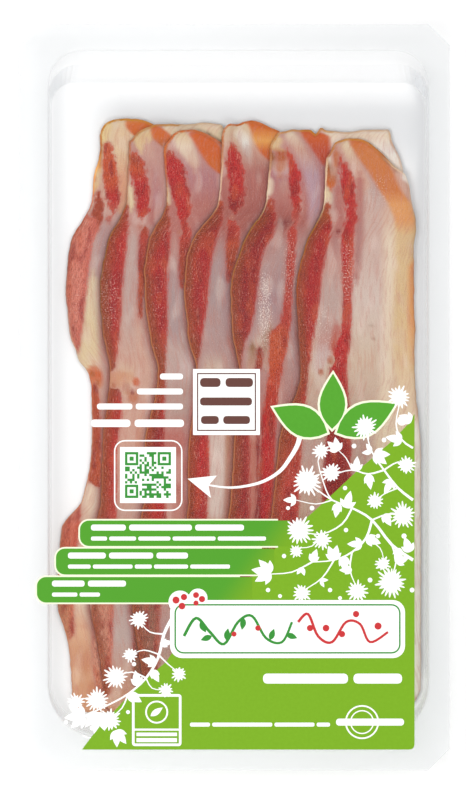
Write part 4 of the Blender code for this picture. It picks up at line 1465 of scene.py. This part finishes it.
def code_patch(layer):
    """A made-up block of small squares, with three framed corners."""
    size = CODE_SIZE / CODE_CELLS
    framed = 6
    chance = np.random.default_rng(5)
    low, high = framed - 1, CODE_CELLS - framed
    for row in range(CODE_CELLS):
        for column in range(CODE_CELLS):
            at_end = (row <= low or row >= high) and (column <= low or column >= high)
            corner = at_end and not (row >= high and column >= high)
            if not corner and chance.random() < CODE_DENSITY:
                x = CODE_LEFT + column * size
                y = CODE_TOP + row * size
                layer.shape([(x, y), (x + size, y), (x + size, y + size), (x, y + size)])
    side = 5.5 * size
    far = 13.5 * size
    inset = 1.9 * size
    for x, y in ((CODE_LEFT, CODE_TOP), (CODE_LEFT + far, CODE_TOP), (CODE_LEFT, CODE_TOP + far)):
        layer.line(x, y, x + side, y + side, 0.5, size)
        layer.panel(x + inset, y + inset, x + side - inset, y + side - inset, 0.3, 2)


def add_ground(cream, grass):
    """The field, the banners and the emblem, with the cream edging of the last two."""
    field = Layer("print_field", ink("leaf_green"), 0)
    field.shape(FIELD, fan=False)
    field.finish()

    edging = Layer("print_edging", cream, 1)
    for left, top, right, bottom in BANNERS:
        edging.panel(left - EDGING, top - EDGING, right - EDGING_ENDS, bottom + EDGING, EDGING_CORNERS)
    for broad_leaf in BROAD_LEAVES:
        edging.shape(leaf(*broad_leaf))
    edging.finish()

    fade = fading_ink("grass_green", "leaf_green", *BANNER_FADE, BANNER_FADE_SLOPE, BANNER_FADE_HEIGHT)
    banners = Layer("print_banners", fade, 2)
    for banner in BANNERS:
        banners.panel(*banner, BANNER_CORNERS)
    banners.finish()

    emblem = Layer("print_emblem", grass, 2)
    for x, y, angle, length, width in BROAD_LEAVES:
        way = math.radians(angle)
        start = (x + STALK * math.cos(way), y + STALK * math.sin(way))
        emblem.shape(leaf(*start, angle, length - SHORTER, width - NARROWER))
    emblem.finish()


def add_sprigs(white):
    """Branches with thistle heads, fans of leaves and berries."""
    sprigs = Layer("print_sprigs", white, 3)
    for points, start, end in TWIGS:
        sprigs.stroke(points, start, end, 3)
    chance = np.random.default_rng(11)
    for x, y, radius, spikes in BURSTS:
        sprigs.shape(burst(x, y, radius, spikes, chance))
    for fan in TUFTS:
        for outline in tuft(*fan):
            sprigs.shape(outline)
    for x, y, radius in BERRIES:
        sprigs.shape(disc(x, y, radius, 12))
    sprigs.finish()


def add_panels(white):
    """The white plates, frames, bars and arrow."""
    panels = Layer("print_panels", white, 4)
    panels.panel(*PLATE)
    for x, y, radius in PLATE_LOBES:
        panels.shape(disc(x, y, radius, 28))
    panels.panel(*BOX)
    panels.panel(*CODE_GROUND)
    panels.line(*CODE_FRAME)
    panels.line(*SQUARE)
    for bar in SQUARE_BARS:
        panels.panel(*bar)
    panels.ring(*SQUARE_RING)
    panels.shape(leaf(*SQUARE_LEAF))
    for ring in ROUNDEL:
        panels.ring(*ring)
    panels.panel(*ROUNDEL_BAR)
    for bars in BANNER_WORDS + SIDE_WORDS + FIELD_WORDS:
        panels.words(*bars)
    panels.stroke(ARROW, *ARROW_WIDTHS)
    panels.shape(ARROW_HEAD, fan=False)
    panels.finish()


def add_colours():
    """The green, red and brown on the white plates."""
    greens = Layer("print_greens", ink("deep_green"), 5)
    greens.line(*PLATE_LINE)
    greens.stroke(VINE, *VINE_WIDTHS)
    for x, y, angle in VINE_LEAVES:
        greens.shape(leaf(x, y, angle, *VINE_LEAF))
    code_patch(greens)
    greens.finish()

    reds = Layer("print_reds", ink("red"), 5)
    reds.stroke(RED_VINE, *RED_VINE_WIDTHS)
    for x, y, radius in RED_BERRIES:
        reds.shape(disc(x, y, radius, 14))
    reds.finish()

    browns = Layer("print_browns", ink("brown"), 5)
    browns.line(*BOX_LINE)
    for bars in BOX_WORDS:
        browns.words(*bars)
    browns.finish()


def add_print():
    white = ink("white")
    add_ground(ink("cream"), ink("grass_green"))
    add_sprigs(white)
    add_panels(white)
    add_colours()


# Floor, light and camera

FLOOR_REACH = 2.0
FLOOR_DROP = 0.05 * MM
FLOOR_TONES = ((251, 251, 251), (254, 254, 254))
SKY_STRENGTH = 0.50
# Each lamp: name, place, size and power. All look at the pack's middle.
LAMPS = [
    ("key", (-0.50, -0.12, 0.95), 0.50, 3.7),
    ("fill", (0.45, 0.24, 0.90), 0.50, 1.7),
    ("front", (0.05, -0.62, 0.90), 0.50, 2.1),
    ("glint", (0.10, 0.34, 0.80), 0.05, 0.9),
]
CAMERA_DISTANCE = 3.0
CLIP_START = 0.05
SENSOR = 36.0


def add_floor():
    mesh = bpy.data.meshes.new("floor")
    corners = ((-1, -1), (1, -1), (1, 1), (-1, 1))
    points = [(x * FLOOR_REACH, y * FLOOR_REACH, -FLOOR_DROP) for x, y in corners]
    mesh.from_pydata(points, [], [(0, 1, 2, 3)])
    nodes = Nodes("floor")
    cloud = nodes.noise(nodes.place(), (3.0, 3.0, 3.0), 2.0)
    dark, light = (rgba(tone) for tone in FLOOR_TONES)
    nodes.set(Base_Color=nodes.mix(cloud, dark, light), Roughness=0.9)
    mesh.materials.append(nodes.material)
    floor = add_object("floor", mesh)


def add_lamp(name, place, size, power):
    lamp = bpy.data.lights.new(name, "AREA")
    lamp.shape = "DISK"
    lamp.size = size
    lamp.energy = power
    obj = add_object(name, lamp)
    obj.location = place
    obj.rotation_euler = (-Vector(place)).to_track_quat("-Z", "Y").to_euler()


def add_world():
    world = bpy.data.worlds.new("studio")
    world.use_nodes = True
    background = world.node_tree.nodes["Background"]
    background.inputs["Color"].default_value = (1.0, 1.0, 1.0, 1.0)
    background.inputs["Strength"].default_value = SKY_STRENGTH
    bpy.context.scene.world = world


def add_camera():
    data = bpy.data.cameras.new("camera")
    data.sensor_fit = "VERTICAL"
    data.sensor_height = SENSOR
    data.lens = data.sensor_height * CAMERA_DISTANCE / (IMAGE_HEIGHT * PIXEL)
    data.clip_start = CLIP_START
    camera = add_object("camera", data)
    camera.location = (across(IMAGE_WIDTH / 2), along(IMAGE_HEIGHT / 2), FLANGE_TOP + CAMERA_DISTANCE)
    bpy.context.scene.camera = camera


add_camera()
add_world()
add_floor()
for settings in LAMPS:
    add_lamp(*settings)
dress_plastic()
lay_slices()
add_print()
bpy.context.scene.view_settings.view_transform = "Standard"
bpy.context.scene.cycles.transparent_max_bounces = 40
bpy.context.scene.cycles.max_bounces = 5
bpy.context.scene.cycles.diffuse_bounces = 3
